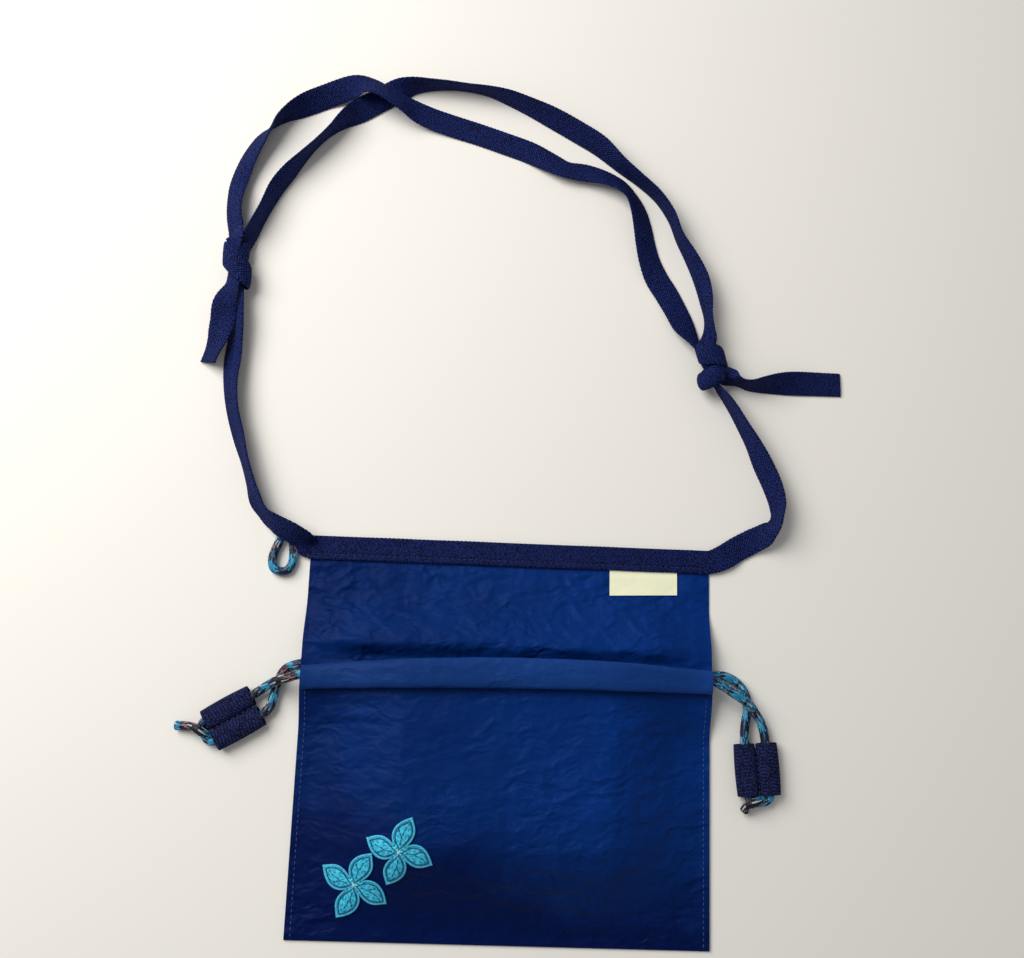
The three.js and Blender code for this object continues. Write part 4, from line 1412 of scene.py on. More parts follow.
INNER_RUN_ROUTE: tuple[RoutePoint, ...] = (
    (77.9, 191, 18, 0.2), (73.9, 199.5, 9, 0), (69.6, 207.6, 2, 0), (64.7, 215.4, 3, 0),
    (61.2, 223.2, 17, 0), (59, 231.8, 26, 0), (57.4, 240.4, 32, 0), (55.2, 248.6, 40, 0),
    (51.6, 255.6, 48, 0), (46, 261.2, 40, 0), (38.4, 264.8, 31, 0), (29.5, 267, 20, 0), (20, 268.2, 23, 0),
    (11.4, 272.4, 11, 0), (2.4, 277, 0, 0), (-10, 281.2, 0, 0), (-24, 285.6, 0, 0), (-36.2, 288.8, 0, 0.6),
    (-46, 291.3, 2, 1.6), (-53.4, 293.6, 10, 2.8), (-59.4, 295.9, 25, 4.4), (-65, 298.6, 32, 5.4),
    (-71, 301.6, 34, 5.8), (-76.8, 303.8, 24, 5.6), (-83, 304.2, -4, 5.4), (-90, 302.4, -26, 1.6),
    (-97.4, 299.6, -32, 0), (-104.6, 295.6, -42, 0), (-110.4, 291.6, -62, 0), (-115.2, 288.2, -82, 0),
    (-119.4, 284.4, -97, 0), (-123, 279.8, -118, 0), (-126.4, 275.8, -133, 0), (-130.2, 269.6, -141, 0),
    (-134, 261.8, -148, 0), (-136.8, 252.6, -150, 0), (-137.5, 243.6, -140, 0), (-136.6, 235.2, -136, 0),
    (-135, 228, -138, 0),
)
OUTER_RUN_ROUTE: tuple[RoutePoint, ...] = (
    (-126, 229.6, 76, 0), (-122, 239, 78, 0), (-117.2, 249.4, 70, 0), (-111.8, 258, 73, 0),
    (-106, 266.2, 88, 0), (-100, 273.8, 97, 0), (-93.6, 281, 93, 0), (-87, 287.6, 70, 0),
    (-79.6, 294.2, 28, 0), (-71, 300.4, 14, 0), (-63, 304.2, 40, 0), (-56.4, 306.2, 72, 0),
    (-48, 307.3, 90, 0), (-38, 307.6, 99, 0), (-29, 307, 102, 0), (-18.7, 305.6, 95, 0), (-9, 302.8, 81, 0),
    (1.8, 298.5, 71, 0), (13, 293.5, 57, 0), (25, 287, 54, 0), (36, 280.2, 58, 0), (46.5, 270.5, 76, 0),
    (56, 262.8, 85, 0), (64.5, 255, 86, 0), (71, 245.2, 85, 0), (75, 234.6, 85, 0), (80.6, 224.4, 75, 0),
    (85.2, 214.4, 67, 0), (87.6, 204.6, 72, 0), (88.7, 194.6, 84, 0), (88.2, 187, 70, 1.5),
)
LEFT_TAIL_ROUTE: tuple[RoutePoint, ...] = (
    (-136.6, 190, -8, 5.2), (-137.2, 182.8, 0, 5.0), (-138.2, 176.6, 16, 3.6), (-139.8, 171.4, 32, 1.2),
    (-141.3, 167.2, 40, 0), (-142.5, 162.9, 40, 0),
)
RIGHT_TAIL_ROUTE: tuple[RoutePoint, ...] = (
    (98.6, 165.2, 66, 1.6), (103.2, 164.2, 88, 0.2), (108.2, 163.2, 80, 0), (114.2, 163.8, 64, 0),
    (121, 164.8, 46, 0), (130, 165.8, 22, 0), (141, 166.4, 5, 0), (152.4, 166.6, 0, 0),
)


@dataclass(frozen=True)
class Curl:
    """A stretch where the tape curls lengthwise: its place, its reach and its bend in degrees."""

    x: float
    y: float
    reach: float
    bend: float


CURLS = (
    Curl(-116.0, 251.0, 11.0, 36.0), Curl(-136.0, 254.0, 13.0, -70.0),
    Curl(-132.5, 209.0, 9.5, -85.0), Curl(86.0, 166.5, 8.0, 95.0),
)


@dataclass
class WovenTape:
    """Herringbone tape of constant cut: the strap's two runs and the binding along the top edge."""

    width: float = 11.2
    thickness: float = 1.2
    step: float = 0.55
    samples: int = 24
    across: int = 13
    rib: float = 1.4
    column: float = 2.6
    relief: float = 0.1
    selvage: float = 0.22
    selvage_pitch: float = 1.9
    rounded_from: float = 0.86
    rounded_over: float = 0.16
    core_width: float = 6.4
    core_drop: float = 0.6
    core_half: float = 9.0
    slack: float = 3.0
    groove: float = 0.0
    groove_half: float = 0.55
    groove_from_edge: float = 2.3

    def on_route(self, route: tuple[RoutePoint, ...]) -> list[Station]:
        """Turns route points into tape stations that lie on the surface by their lower edge.

        Args:
            route: The route's points.

        Returns:
            Place, face direction and width of each station.
        """
        heading = tangents(np.array([(x, y, 0) for x, y, _, _ in route], float))
        stations = []
        for (x, y, roll, lift), ahead in zip(route, heading):
            flat, steep = math.cos(math.radians(roll)), math.sin(math.radians(roll))
            rise = self.width / 2 * abs(steep) + self.thickness / 2 * abs(flat)
            stations.append([x, y, lift + rise, ahead[1] * steep, -ahead[0] * steep, flat, self.width])
        return stations

    def through_knot(self, knot: StrapKnot, across: Pair, rolls: Pair) -> list[Station]:
        """Stations of a run that passes, bunched up, through the middle of a knot.

        Args:
            knot: The knot.
            across: How far beside the knot's axis the run comes in and goes out.
            rolls: The tape's roll where it comes in and where it goes out, in degrees.

        Returns:
            Place, face direction and width of each station.
        """
        asides = (across[0], 0.0, across[1])
        leans = np.radians((rolls[0], sum(rolls) / 2, rolls[1]))
        stations = []
        for along, aside, lean in zip((-self.core_half, 0.0, self.core_half), asides, leans):
            place = turned((aside, along, 0), knot.turn)
            normal = turned((math.sin(lean), 0, math.cos(lean)), knot.turn)
            z = knot.height - self.core_drop
            stations.append([knot.x + place[0], knot.y + place[1], z, *normal, self.core_width])
        return stations

    def curled(self, curve: Array) -> Array:
        """How far the tape bends lengthwise.

        Args:
            curve: Samples of its middle.

        Returns:
            Half its bend at each sample, in radians.
        """
        bend = np.full(len(curve), self.slack)
        for curl in CURLS:
            gap = np.hypot(curve[:, 0] - curl.x, curve[:, 1] - curl.y)
            bend += curl.bend * np.exp(-((gap / curl.reach) ** 2))
        return np.radians(bend / 2)

    def sweep(
        self, stations: list[Station], first: int = 0, last: int | None = None
    ) -> tuple[MeshDraft, Array]:
        """Sweeps the tape's section along its stations.

        Args:
            stations: Place, face direction and width, one a row.
            first: Station at which the tape begins; those before it only steer it.
            last: Station at which it ends, or none for the last one.

        Returns:
            The draft of the tape and the path of its middle.
        """
        rows = np.array(stations, float)
        for i in range(1, len(rows)):
            if np.dot(rows[i, 3:6], rows[i - 1, 3:6]) < 0:
                rows[i, 3:6] *= -1
        end = len(rows) - 1 if last is None else last
        shown = flow_through(rows, self.samples)[first * self.samples : end * self.samples + 1]
        curve, travelled = even_steps(shown, self.step)
        ahead = tangents(curve)
        facing = unit(curve[:, 3:6] - ahead * np.sum(curve[:, 3:6] * ahead, axis=1, keepdims=True))
        aside = np.cross(facing, ahead)
        loops = np.abs(np.sin(np.pi * travelled / self.selvage_pitch)) - 0.5
        half = curve[:, 6] / 2 + self.selvage * loops
        bend = self.curled(curve)
        spread = np.linspace(1, -1, self.across)
        past = np.clip((np.abs(spread) - self.rounded_from) / self.rounded_over, 0, 1)
        rounding = np.sqrt(1 - past**2)
        rings, around = [], []
        for side in (1, -1):
            places = side * spread
            distance = places * half[:, None]
            zigzag = np.abs((distance + self.column) % (2 * self.column) - self.column)
            ribs = self.relief * np.sin(FULL_TURN * (travelled[:, None] + zigzag) / self.rib)
            depth = side * rounding * (self.thickness / 2 + ribs)
            if side > 0:
                from_groove = distance + half[:, None] - self.groove_from_edge
                depth -= self.groove * np.exp(-((from_groove / self.groove_half) ** 2))
            lean = places * bend[:, None]
            radius = (half / bend)[:, None]
            out = (radius - depth) * np.sin(lean)
            up = radius * (1 - np.cos(lean)) + depth * np.cos(lean)
            offset = aside[:, None] * out[..., None] + facing[:, None] * up[..., None]
            rings.append(curve[:, None, :3] + offset)
            around.append(places * self.width / 2)
        grid = np.concatenate(rings, axis=1)
        grid[..., 2] = np.maximum(grid[..., 2], 0.0)
        draft = MeshDraft()
        draft.add_tube(grid, travelled, np.concatenate([*around, around[0][:1]]))
        return draft, curve[:, :3]


@dataclass
class TopBinding:
    """The tape sewn flat along the pouch's top edge, with a sewn groove near its lower edge."""

    tape: WovenTape = field(default_factory=lambda: WovenTape(across=27, groove=0.5))
    sewn_width: float = 10.5
    raised: float = 0.2
    drift: float = 0.35
    drift_length: float = 30.0
    drift_start: float = 0.4
    seed: int = 21
    count: int = 24
    overlap: int = 3

    def stations(self) -> list[Station]:
        """Stations from the left corner to the right one.

        Returns:
            Place, face direction and width of each station, both corners included.
        """
        low, high = (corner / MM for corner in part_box("top_tape"))
        middle = (low + high) / 2
        xs = np.linspace(low.x, high.x, self.count)
        sway = CrinkleField(self.seed).smooth(xs / self.drift_length, np.full_like(xs, self.drift_start))
        ys = middle.y + self.raised + self.drift * sway * (1 - (xs / high.x) ** 4)
        return [[x, y, middle.z, 0, 0, 1, self.sewn_width] for x, y in zip(xs, ys)]

    def steer(self, side: int) -> list[Station]:
        """The binding's last stations before a corner, with which the strap begins."""
        rows = self.stations()
        return rows[-1 - self.overlap :] if side > 0 else rows[self.overlap :: -1]

    def build(self) -> None:
        """Makes the stretch of tape between the two corners, which runs on into the straps."""
        risers = (LEFT_RISER_ROUTE, RIGHT_RISER_ROUTE)
        left, right = (self.tape.on_route(route)[1 : 1 + self.overlap] for route in risers)
        rows = left[::-1] + self.stations() + right
        draft, _ = self.tape.sweep(rows, self.overlap, self.overlap + self.count - 1)
        piece = draft.build("top_binding_tape", Wardrobe.TAPE, sharp=TAPE_EDGE)
        settle(piece, Body.POUCH, Slot.TAPE, "top_tape")


@dataclass
class ShoulderStrap:
    """The two tapes of the strap, each from a corner of the pouch through one knot to the other."""

    tape: WovenTape = field(default_factory=WovenTape)
    binding: TopBinding = field(default_factory=TopBinding)

    def lay(self, name: str, stations: list[Station], *nodes: str) -> None:
        """Args:
            name: Name of the piece.
            stations: The tape's stations from inside the binding to its cut end.
            nodes: The solids that it replaces.
        """
        draft, path = self.tape.sweep(stations, self.binding.overlap)
        piece = draft.build(name, Wardrobe.TAPE, sharp=TAPE_EDGE)
        settle(piece, Body.POUCH, Slot.TAPE, *nodes)

    def build(self) -> None:
        """Makes both tapes."""
        tape = self.tape
        left = (
            self.binding.steer(-1)
            + tape.on_route(LEFT_RISER_ROUTE)[1:]
            + tape.through_knot(LEFT_KNOT, across=(1.0, 2.6), rolls=(-52, 232))
            + tape.on_route(OUTER_RUN_ROUTE)
            + [RIGHT_KNOT.station(wrap) for wrap in RIGHT_WRAPS]
            + tape.on_route(RIGHT_TAIL_ROUTE)
        )
        right = (
            self.binding.steer(1)
            + tape.on_route(RIGHT_RISER_ROUTE)[1:]
            + tape.through_knot(RIGHT_KNOT, across=(1.0, -3.0), rolls=(-92, -130))
            + tape.on_route(INNER_RUN_ROUTE)
            + [LEFT_KNOT.station(wrap) for wrap in LEFT_WRAPS]
            + tape.on_route(LEFT_TAIL_ROUTE)
        )
        self.lay(
            "strap_left_tape", left,
            "strap_left_riser", "strap_outer_run", "strap_right_knot", "strap_right_tail",
        )
        self.lay(
            "strap_right_tape", right,
            "strap_right_riser", "strap_inner_run", "strap_left_knot", "strap_left_tail",
        )


# Cords and keepers


@dataclass
class BraidedCord:
    """A braided cord of 4 mm with its yarns in relief."""

    diameter: float = 4.0
    strands: int = 8
    lay: float = 2.6
    relief: float = 0.12
    crown_mean: float = 0.75
    end_share: float = 0.86
    around: int = 40
    step: float = 0.42
    samples: int = 16

    def sweep(self, draft: MeshDraft, points: Array, start: float = 0.0) -> Array:
        """Sweeps the braid along control points into a draft.

        Args:
            draft: The mesh in the making.
            points: Control points of the cord's middle.
            start: Distance at which the braid's pattern begins.

        Returns:
            The path of the cord's middle.
        """
        curve, travelled = even_steps(flow_through(points, self.samples), self.step)
        ahead = tangents(curve)
        up = carried_normals(ahead, np.array([0.0, 0.0, 1.0]))
        side = np.cross(up, ahead)
        shares = np.arange(self.around) / self.around
        along = travelled + start
        right = self.strands * shares + along[:, None] / self.lay
        left = self.strands * shares - along[:, None] / self.lay
        over = (np.floor(right) + np.floor(left)) % 2 < 1
        across_yarn = np.where(over, right, left) % 1 - 0.5
        along_yarn = np.where(over, left, right) % 1 - 0.5
        crown = np.cos(np.pi * across_yarn) * np.sqrt(np.cos(np.pi * along_yarn))
        radius = self.diameter / 2 + self.relief * (crown - self.crown_mean)
        radius[[0, -1]] *= self.end_share
        angles = (FULL_TURN * shares)[None, :, None]
        offset = (side[:, None] * np.cos(angles) + up[:, None] * np.sin(angles)) * radius[..., None]
        draft.add_tube(curve[:, None, :3] + offset, along, np.arange(self.around + 1) / self.around)
        return curve[:, :3]


@dataclass(frozen=True)
class KeeperSite:
    """Where a keeper lies: which side, how far out from the casing's end, how far below it, and its turn."""

    body: Body
    side: int
    reach: float
    drop: float
    turn: float
    casing_end: float = 89.0
    casing_y: float = 26.0

    def to_frame(self, points: Array) -> Array:
        """Takes points from the keeper's frame, along, across and up, to the part's frame."""
        middle = (self.side * (self.casing_end + self.reach), self.casing_y - self.drop, 0.0)
        return turned(points, self.turn) + middle


KEEPER_SITES = {
    "left": KeeperSite(Body.LEFT_KEEPER, -1, 28.8, 21.6, 31.0),
    "right": KeeperSite(Body.RIGHT_KEEPER, 1, 21.5, 36.0, 94.5),
}


@dataclass
class WebbingKeeper:
    """A loop of webbing sewn down its middle, which leaves two channels for the cords."""

    length: float = 22.0
    height: float = 6.8
    half_width: float = 9.8
    wall: float = 0.8
    thinner: float = 0.1
    squareness: float = 2.5
    lobe_gap: float = 0.04
    outline_step: float = 0.05
    outline_points: int = 721
    relief: float = 0.12
    row: float = 0.75
    waist: float = 0.35
    around: int = 108
    along: int = 72
    seam_margin: float = 1.2
    seam_sunk: float = 2.0
    seam_points: int = 30

    def lobe(self, side: int) -> tuple[Array, Array]:
        """Outline of one channel's wall.

        Args:
            side: 1 or -1 across the keeper.

        Returns:
            The outline's points, across and up, and its outward directions.
        """
        out, up = squared_ring(np.linspace(0, FULL_TURN, self.outline_points), self.squareness)
        across = self.half_width / 2 + (self.half_width / 2 - self.lobe_gap) * out
        closed = np.column_stack([across, self.height / 2 * up, np.zeros_like(up)])
        ring, _ = even_steps(closed, self.outline_step)
        ring = ring[np.linspace(0, len(ring) - 1, self.around, endpoint=False).astype(int), :2]
        ahead = np.roll(ring, -1, axis=0) - np.roll(ring, 1, axis=0)
        outward = unit(np.stack([ahead[:, 1], -ahead[:, 0]], axis=1))
        if side < 0:
            ring = ring[::-1] * (-1, 1)
            outward = outward[::-1] * (-1, 1)
        return ring, outward

    def build(self, name: str, site: KeeperSite) -> None:
        """Builds a keeper and the seam down its middle.

        Args:
            name: The keeper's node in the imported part.
            site: Where it lies.
        """
        draft = MeshDraft()
        us = np.linspace(-self.length / 2, self.length / 2, self.along)
        narrowing = self.waist * (np.cos(np.pi * us / self.length) - 1)[:, None]
        for side in (1, -1):
            ring, outward = self.lobe(side)
            places = travel(np.vstack([ring, ring[:1]]))
            swell = self.relief * (np.abs(np.sin(np.pi * places[:-1] / self.row)) - 0.5)
            middle = ring - outward * (self.wall / 2 - swell - narrowing)[..., None]
            run = np.broadcast_to(us[:, None], middle.shape[:2])
            grid = np.stack([run, middle[..., 0], middle[..., 1] + self.height / 2], axis=-1)
            draft.add_shell(site.to_frame(grid), self.wall - self.thinner, us, places, wrap=True)
        piece = draft.build(f"{name}_webbing", Wardrobe.WEBBING, sharp=WEBBING_EDGE)
        settle(piece, site.body, Slot.WEBBING, name)
        reach = self.length / 2 - self.seam_margin
        height = self.height - self.seam_sunk
        line = np.array([(u, 0.0, height) for u in np.linspace(-reach, reach, self.seam_points)])
        row = StitchRow(pitch=2.4, length=1.9, thread=0.6, seed=3)
        settle(row.sew(f"{name}_seam", [site.to_frame(line)], Wardrobe.DARK_SEAM), site.body, Slot.WEBBING)


# Places in a keeper's frame: along, across and up. A route begins with the channel that the cord leaves by.
DRAWCORD_ROUTES = {
    "front": (
        (1, ((15.5, 4.9, 3.6), (19.5, 5, 5.5), (23.5, 4.8, 8), (28.5, 3.6, 9.8))),
        (-1, ((16, -4.3, 3.4), (20, -3.3, 3.6), (24, -0.8, 5.4), (28, 2.4, 8), (32.5, 8.5, 9.8))),
    ),
    "rear": (
        (-1, ((13.5, -4.3, 3.3), (16, -3.3, 3.2), (19.5, 0.4, 2.6), (24, 4.9, 2.5), (29, 7.8, 2.6))),
        (1, ((16, 4.2, 3.3), (20, 3.4, 3.2), (25, 2, 2.6), (31, 2, 2.5), (36.5, 4.8, 2.5), (40.5, 11, 2.6))),
    ),
}
CUT_ENDS = {
    "left": (
        (-12.6, -2.2, 2.6), (-13.6, 0.2, 4.6), (-15.0, 3.0, 5.2),
        (-17.2, 5.2, 3.6), (-20.2, 7.4, 2.3), (-23.4, 9.4, 2.1),
    ),
    "right": ((-12.6, -1.4, 2.6), (-13.4, 1.0, 4.6), (-14.0, 3.6, 4.6), (-15.4, 5.6, 3.2), (-17.6, 7.2, 2.2)),
}
# Half of the bridge between two cord ends: past the keeper, share of the channel's offset, below the channel
BRIDGE_SIDE = ((-0.7, 1.0, 0.0), (0.9, 0.98, 0.0), (2.6, 0.72, 0.7), (3.0, 0.3, 1.1))
# One side of the cord loop, as shares of its half width and its drop
LOOP_SIDE = ((0.68, 0), (0.68, 0.18), (0.9, 0.45), (1, 0.7), (0.7, 0.93))


@dataclass
class Drawcords:
    """The two drawcords, the knots at their ends and the loop of the same cord at the strap's corner."""

    cord: BraidedCord = field(default_factory=BraidedCord)
    channel: float = 4.6
    channel_height: float = 3.4
    channel_points: int = 4
    keeper_half: float = 11.0
    casing_points: int = 15
    casing_inset: float = 1.0
    bridge_start: float = 4.0
    cut_end_start: float = 31.0
    loop_start: float = 57.0
    loop_place: tuple[float, float, float] = (-100.4, 85.4, 2.0)
    loop_lean: float = -8.0
    loop_half: float = 4.5
    loop_drop: float = 17.0

    def at_keeper(self, site: KeeperSite, channel: int, route: tuple) -> Array:
        """A cord's points from a keeper's outer end through a channel, 1 or -1, and along a route."""
        us = np.linspace(-self.keeper_half, self.keeper_half, self.channel_points)
        return site.to_frame(
            np.array([*((u, channel * self.channel, self.channel_height) for u in us), *route])
        )

    def drawcord(self, name: str, casing: CasingTube) -> None:
        """Args:
            name: "front" or "rear".
            casing: The casing that it runs through.
        """
        left, right = DRAWCORD_ROUTES[name]
        end = KEEPER_SITES["left"].casing_end - self.casing_inset
        xs = np.linspace(-end, end, self.casing_points)
        points = np.vstack([
            self.at_keeper(KEEPER_SITES["left"], *left),
            np.stack([xs, *casing.middle(xs)], axis=1),
            self.at_keeper(KEEPER_SITES["right"], *right)[::-1],
        ])
        draft = MeshDraft()
        path = self.cord.sweep(draft, points)
        piece = draft.build(f"{name}_drawcord_braid", Wardrobe.BRAID)
        settle(piece, Body.POUCH, Slot.CORD, f"{name}_drawcord")

    def end_knot(self, name: str) -> None:
        """The two cord ends joined across a keeper's outer end, with one cut end standing off.

        Args:
            name: "left" or "right".
        """
        half = [
            (-past - self.keeper_half, share * self.channel, self.channel_height - below)
            for past, share, below in BRIDGE_SIDE
        ]
        bridge = half + [(along, -across, up) for along, across, up in reversed(half)]
        site = KEEPER_SITES[name]
        draft = MeshDraft()
        self.cord.sweep(draft, site.to_frame(np.array(bridge)), self.bridge_start)
        self.cord.sweep(draft, site.to_frame(np.array(CUT_ENDS[name])), self.cut_end_start)
        piece = draft.build(f"end_knot_{name}_braid", Wardrobe.BRAID)
        settle(piece, Body.POUCH, Slot.CORD, f"end_knot_{name}")

    def key_loop(self) -> None:
        half = [(-out * self.loop_half, -down * self.loop_drop, 0.0) for out, down in LOOP_SIDE]
        points = np.array([*half, (0, -self.loop_drop, 0), *[(-x, y, z) for x, y, z in reversed(half)]])
        draft = MeshDraft()
        path = self.cord.sweep(draft, turned(points, self.loop_lean) + self.loop_place, self.loop_start)
        piece = draft.build("key_loop_braid", Wardrobe.BRAID)
        settle(piece, Body.POUCH, Slot.CORD, "key_loop")


# Patches and label


@dataclass
class FlowerPatch:
    """An embroidered flower: a satin-stitched rim, four padded petals, outline stitches, veins and knots."""

    name: str
    site: FlowerSite
    cloth: PouchCloth
    petals: int = 4
    notch: float = 4.2
    overlap: float = 0.8
    tip: float = 0.95
    bulge: float = 0.95
    curve: float = 1.3
    twist: float = 16.0
    steps: int = 288
    rings: int = 34
    first_rings: Pair = (0.015, 0.06)

    base: float = 0.45
    rim: float = 1.0
    rim_height: float = 0.5
    fill_height: float = 0.55
    fill_over: float = 0.8
    dome_height: float = 0.25
    dome_rim: Pair = (1.1, 4.0)
    dome_side: Pair = (0.2, 1.5)
    dome_middle: Pair = (1.0, 3.4)
    thread_height: float = 0.07
    thread_pitch: float = 0.7
    thread_slant: float = 0.3
    under: float = 0.05

    inset: float = 1.35
    inset_slack: float = 0.12
    line_points: int = 90
    edge_points: int = 720
    line_base: float = 1.3
    vein_places: tuple[tuple[Pair, ...], ...] = (
        ((3.6, 0.0), (6.4, 0.2), (10.2, -0.2)), ((6.2, 0.3), (8.4, 2.0)),
    )
    outline_lift: float = 1.1
    vein_lift: float = 1.3
    knots: int = 6
    knot_reach: Pair = (0.3, 1.1)
    knot_lift: Pair = (1.1, 0.9)

    def __post_init__(self) -> None:
        """Lets the stitched rim reach past the patch's cut edge."""
        self.site = replace(self.site, reach=self.site.reach + self.overlap)

    @property
    def sector(self) -> float:
        """The angle from one petal to the next."""
        return FULL_TURN / self.petals

    def off_axis(self, angle: Array) -> Array:
        """Angles from the nearest petal's axis."""
        return (angle + self.sector / 2) % self.sector - self.sector / 2

    def radius(self, angle: Array) -> Array:
        """Radius of the patch's outline.

        Args:
            angle: Angles from the first petal's axis.

        Returns:
            The radii.
        """
        off = np.abs(self.off_axis(angle)) / (self.sector / 2)
        share = 1 - off ** (self.tip + self.bulge * off**self.curve)
        return self.notch + (self.site.reach - self.notch) * share

    def twisted(self, angle: Array, radius: Array) -> Array:
        """Places on the cloth, where the petals lean over towards their tips.

        Args:
            angle: Angles from the first petal's axis.
            radius: Distances from the flower's middle.

        Returns:
            Rows of x and y.
        """
        swing = np.radians(self.site.turn + self.twist * (1 - (radius / self.site.reach) ** self.curve))
        x = self.site.x + radius * np.cos(angle + swing)
        y = self.site.y + radius * np.sin(angle + swing)
        return np.stack([x, y], axis=-1)

    def on_cloth(self, plan: Array, lift: float | Pair) -> Array:
        """Raises places to a height above the front panel."""
        return np.column_stack([plan, self.cloth.front_surface(plan[:, 0], plan[:, 1]) + lift])

    def petal_line(self, petal: int) -> Array:
        """The outline stitched round one petal, a fixed distance inside the patch's edge.

        Args:
            petal: Number of the petal.

        Returns:
            Places on the cloth, from the flower's middle round the petal and back.
        """
        all_round = np.linspace(0, FULL_TURN, self.edge_points)
        edge = self.twisted(all_round, self.radius(all_round))
        turn = petal * self.sector + np.linspace(-self.sector / 2, self.sector / 2, self.line_points)
        line = self.twisted(turn, self.radius(turn))
        ahead = unit(np.gradient(line, axis=0))
        inner = line + self.inset * np.stack([-ahead[:, 1], ahead[:, 0]], axis=1)
        gap = np.min(np.linalg.norm(inner[:, None] - edge[None], axis=-1), axis=1)
        base = self.twisted(np.array([petal * self.sector]), np.array([self.line_base]))
        return np.vstack([base, inner[gap > self.inset - self.inset_slack], base])

    def vein_lines(self, petal: int) -> list[Array]:
        """A middle vein and a short side vein in one petal.

        Args:
            petal: Number of the petal.

        Returns:
            Places on the cloth along each vein.
        """
        lines = []
        for places in self.vein_places:
            along, across = np.array(places).T
            angle = np.arctan2(across, along) + petal * self.sector
            lines.append(self.twisted(angle, np.hypot(along, across)))
        return lines

    def heights(self, gap: Array, radius: Array, off: Array) -> Array:
        """Heights of the embroidery above the cloth: a round rim, filled petals and threads across them.

        Args:
            gap: Distances from the patch's edge.
            radius: Distances from the flower's middle.
            off: Angles from the nearest petal's axis.

        Returns:
            The heights.
        """
        arch = np.sqrt(1 - np.clip(2 * gap / self.rim - 1, -1, 1) ** 2)
        beside = radius * np.sin(np.abs(self.sector / 2 - np.abs(off)))
        dome = smoothstep(gap, self.rim * self.dome_rim[0], self.dome_rim[1])
        dome = dome * smoothstep(beside, *self.dome_side) * smoothstep(radius, *self.dome_middle)
        filled = smoothstep(gap, self.rim, self.rim + self.fill_over)
        laid = radius * (np.sin(off) + self.thread_slant * np.cos(off)) / self.thread_pitch
        thread = self.thread_height * np.sin(FULL_TURN * laid) * dome
        height = self.base + self.rim_height * np.where(gap < self.rim, arch, 0) + self.fill_height * filled
        return height + self.dome_height * dome + thread

    def patch(self) -> None:
        """Makes the padded patch: rings of faces from its middle to its rim, closed underneath."""
        angles = np.linspace(0, FULL_TURN, self.steps, endpoint=False)
        first, second = self.first_rings
        shares = np.concatenate([[first], np.linspace(second, 1, self.rings)])
        radius = shares[:, None] * self.radius(angles)
        turn = np.broadcast_to(angles, radius.shape)
        plan = self.twisted(turn, radius)
        edge = plan[-1]
        gap = np.min(np.linalg.norm(plan[:, :, None] - edge[None, None, ::2], axis=-1), axis=-1)
        off = self.off_axis(turn)
        cloth_z = self.cloth.front_surface(plan[..., 0], plan[..., 1])
        top = np.dstack([plan, cloth_z + self.heights(gap, radius, off)])
        bottom = np.column_stack([edge, cloth_z[-1] + self.under])
        grid = np.concatenate([top, bottom[None]])
        rows = len(grid)
        fields = (radius * np.cos(off), radius * np.sin(off), radius)
        along, across, out = (np.vstack([values, values[-1:]]) for values in fields)
        on_rim = np.vstack([gap < self.rim, np.ones((1, self.steps), bool)])
        arc = travel(edge)
        draft = MeshDraft()
        index = draft.add_points(grid) + np.arange(rows * self.steps).reshape(rows, self.steps)
        for r in range(rows - 1):
            for c in range(self.steps):
                d = (c + 1) % self.steps
                corners = [(r, c), (r + 1, c), (r + 1, d), (r, d)]
                rim_face = int(on_rim[r + 1, c])
                if rim_face:
                    places = [(out[i, j], arc[j]) for i, j in corners]
                else:
                    places = [(along[i, j], across[i, j]) for i, j in corners]
                draft.add_face([index[i, j] for i, j in corners], places, rim_face)
        for ring in (index[0], index[-1][::-1]):
            draft.add_face(ring, [(0.0, 0.0)] * self.steps)
        piece = draft.build(f"{self.name}_embroidery", Wardrobe.PETAL, Wardrobe.RIM)
        settle(piece, Body.POUCH, Slot.EMBROIDERY, self.name)

    def build(self) -> None:
        """Builds the patch on the cloth with its outline, its veins and the knots in its middle."""
        self.patch()
        petals = range(self.petals)
        outlines = [self.on_cloth(self.petal_line(petal), self.outline_lift) for petal in petals]
        plans = [plan for petal in petals for plan in self.vein_lines(petal)]
        veins = [self.on_cloth(plan, self.vein_lift) for plan in plans]
        knots = []
        for angle in np.radians(self.site.turn + np.arange(self.knots) * 360 / self.knots):
            out = np.outer(self.knot_reach, (math.cos(angle), math.sin(angle)))
            knots.append(self.on_cloth(out + (self.site.x, self.site.y), self.knot_lift))
        outline_row = StitchRow(pitch=1.1, length=1.35, thread=0.5, wander=0.12, seed=9)
        knot_row = StitchRow(pitch=0.9, length=1.2, thread=0.85, wander=0.3, seed=4)
        for part, row, lines, thread in (
            ("outline", outline_row, outlines, Wardrobe.OUTLINE),
            ("veins", replace(outline_row, thread=0.38), veins, Wardrobe.OUTLINE),
            ("knots", knot_row, knots, Wardrobe.KNOT),
        ):
            settle(row.sew(f"{self.name}_{part}", lines, thread), Body.POUCH, Slot.EMBROIDERY)


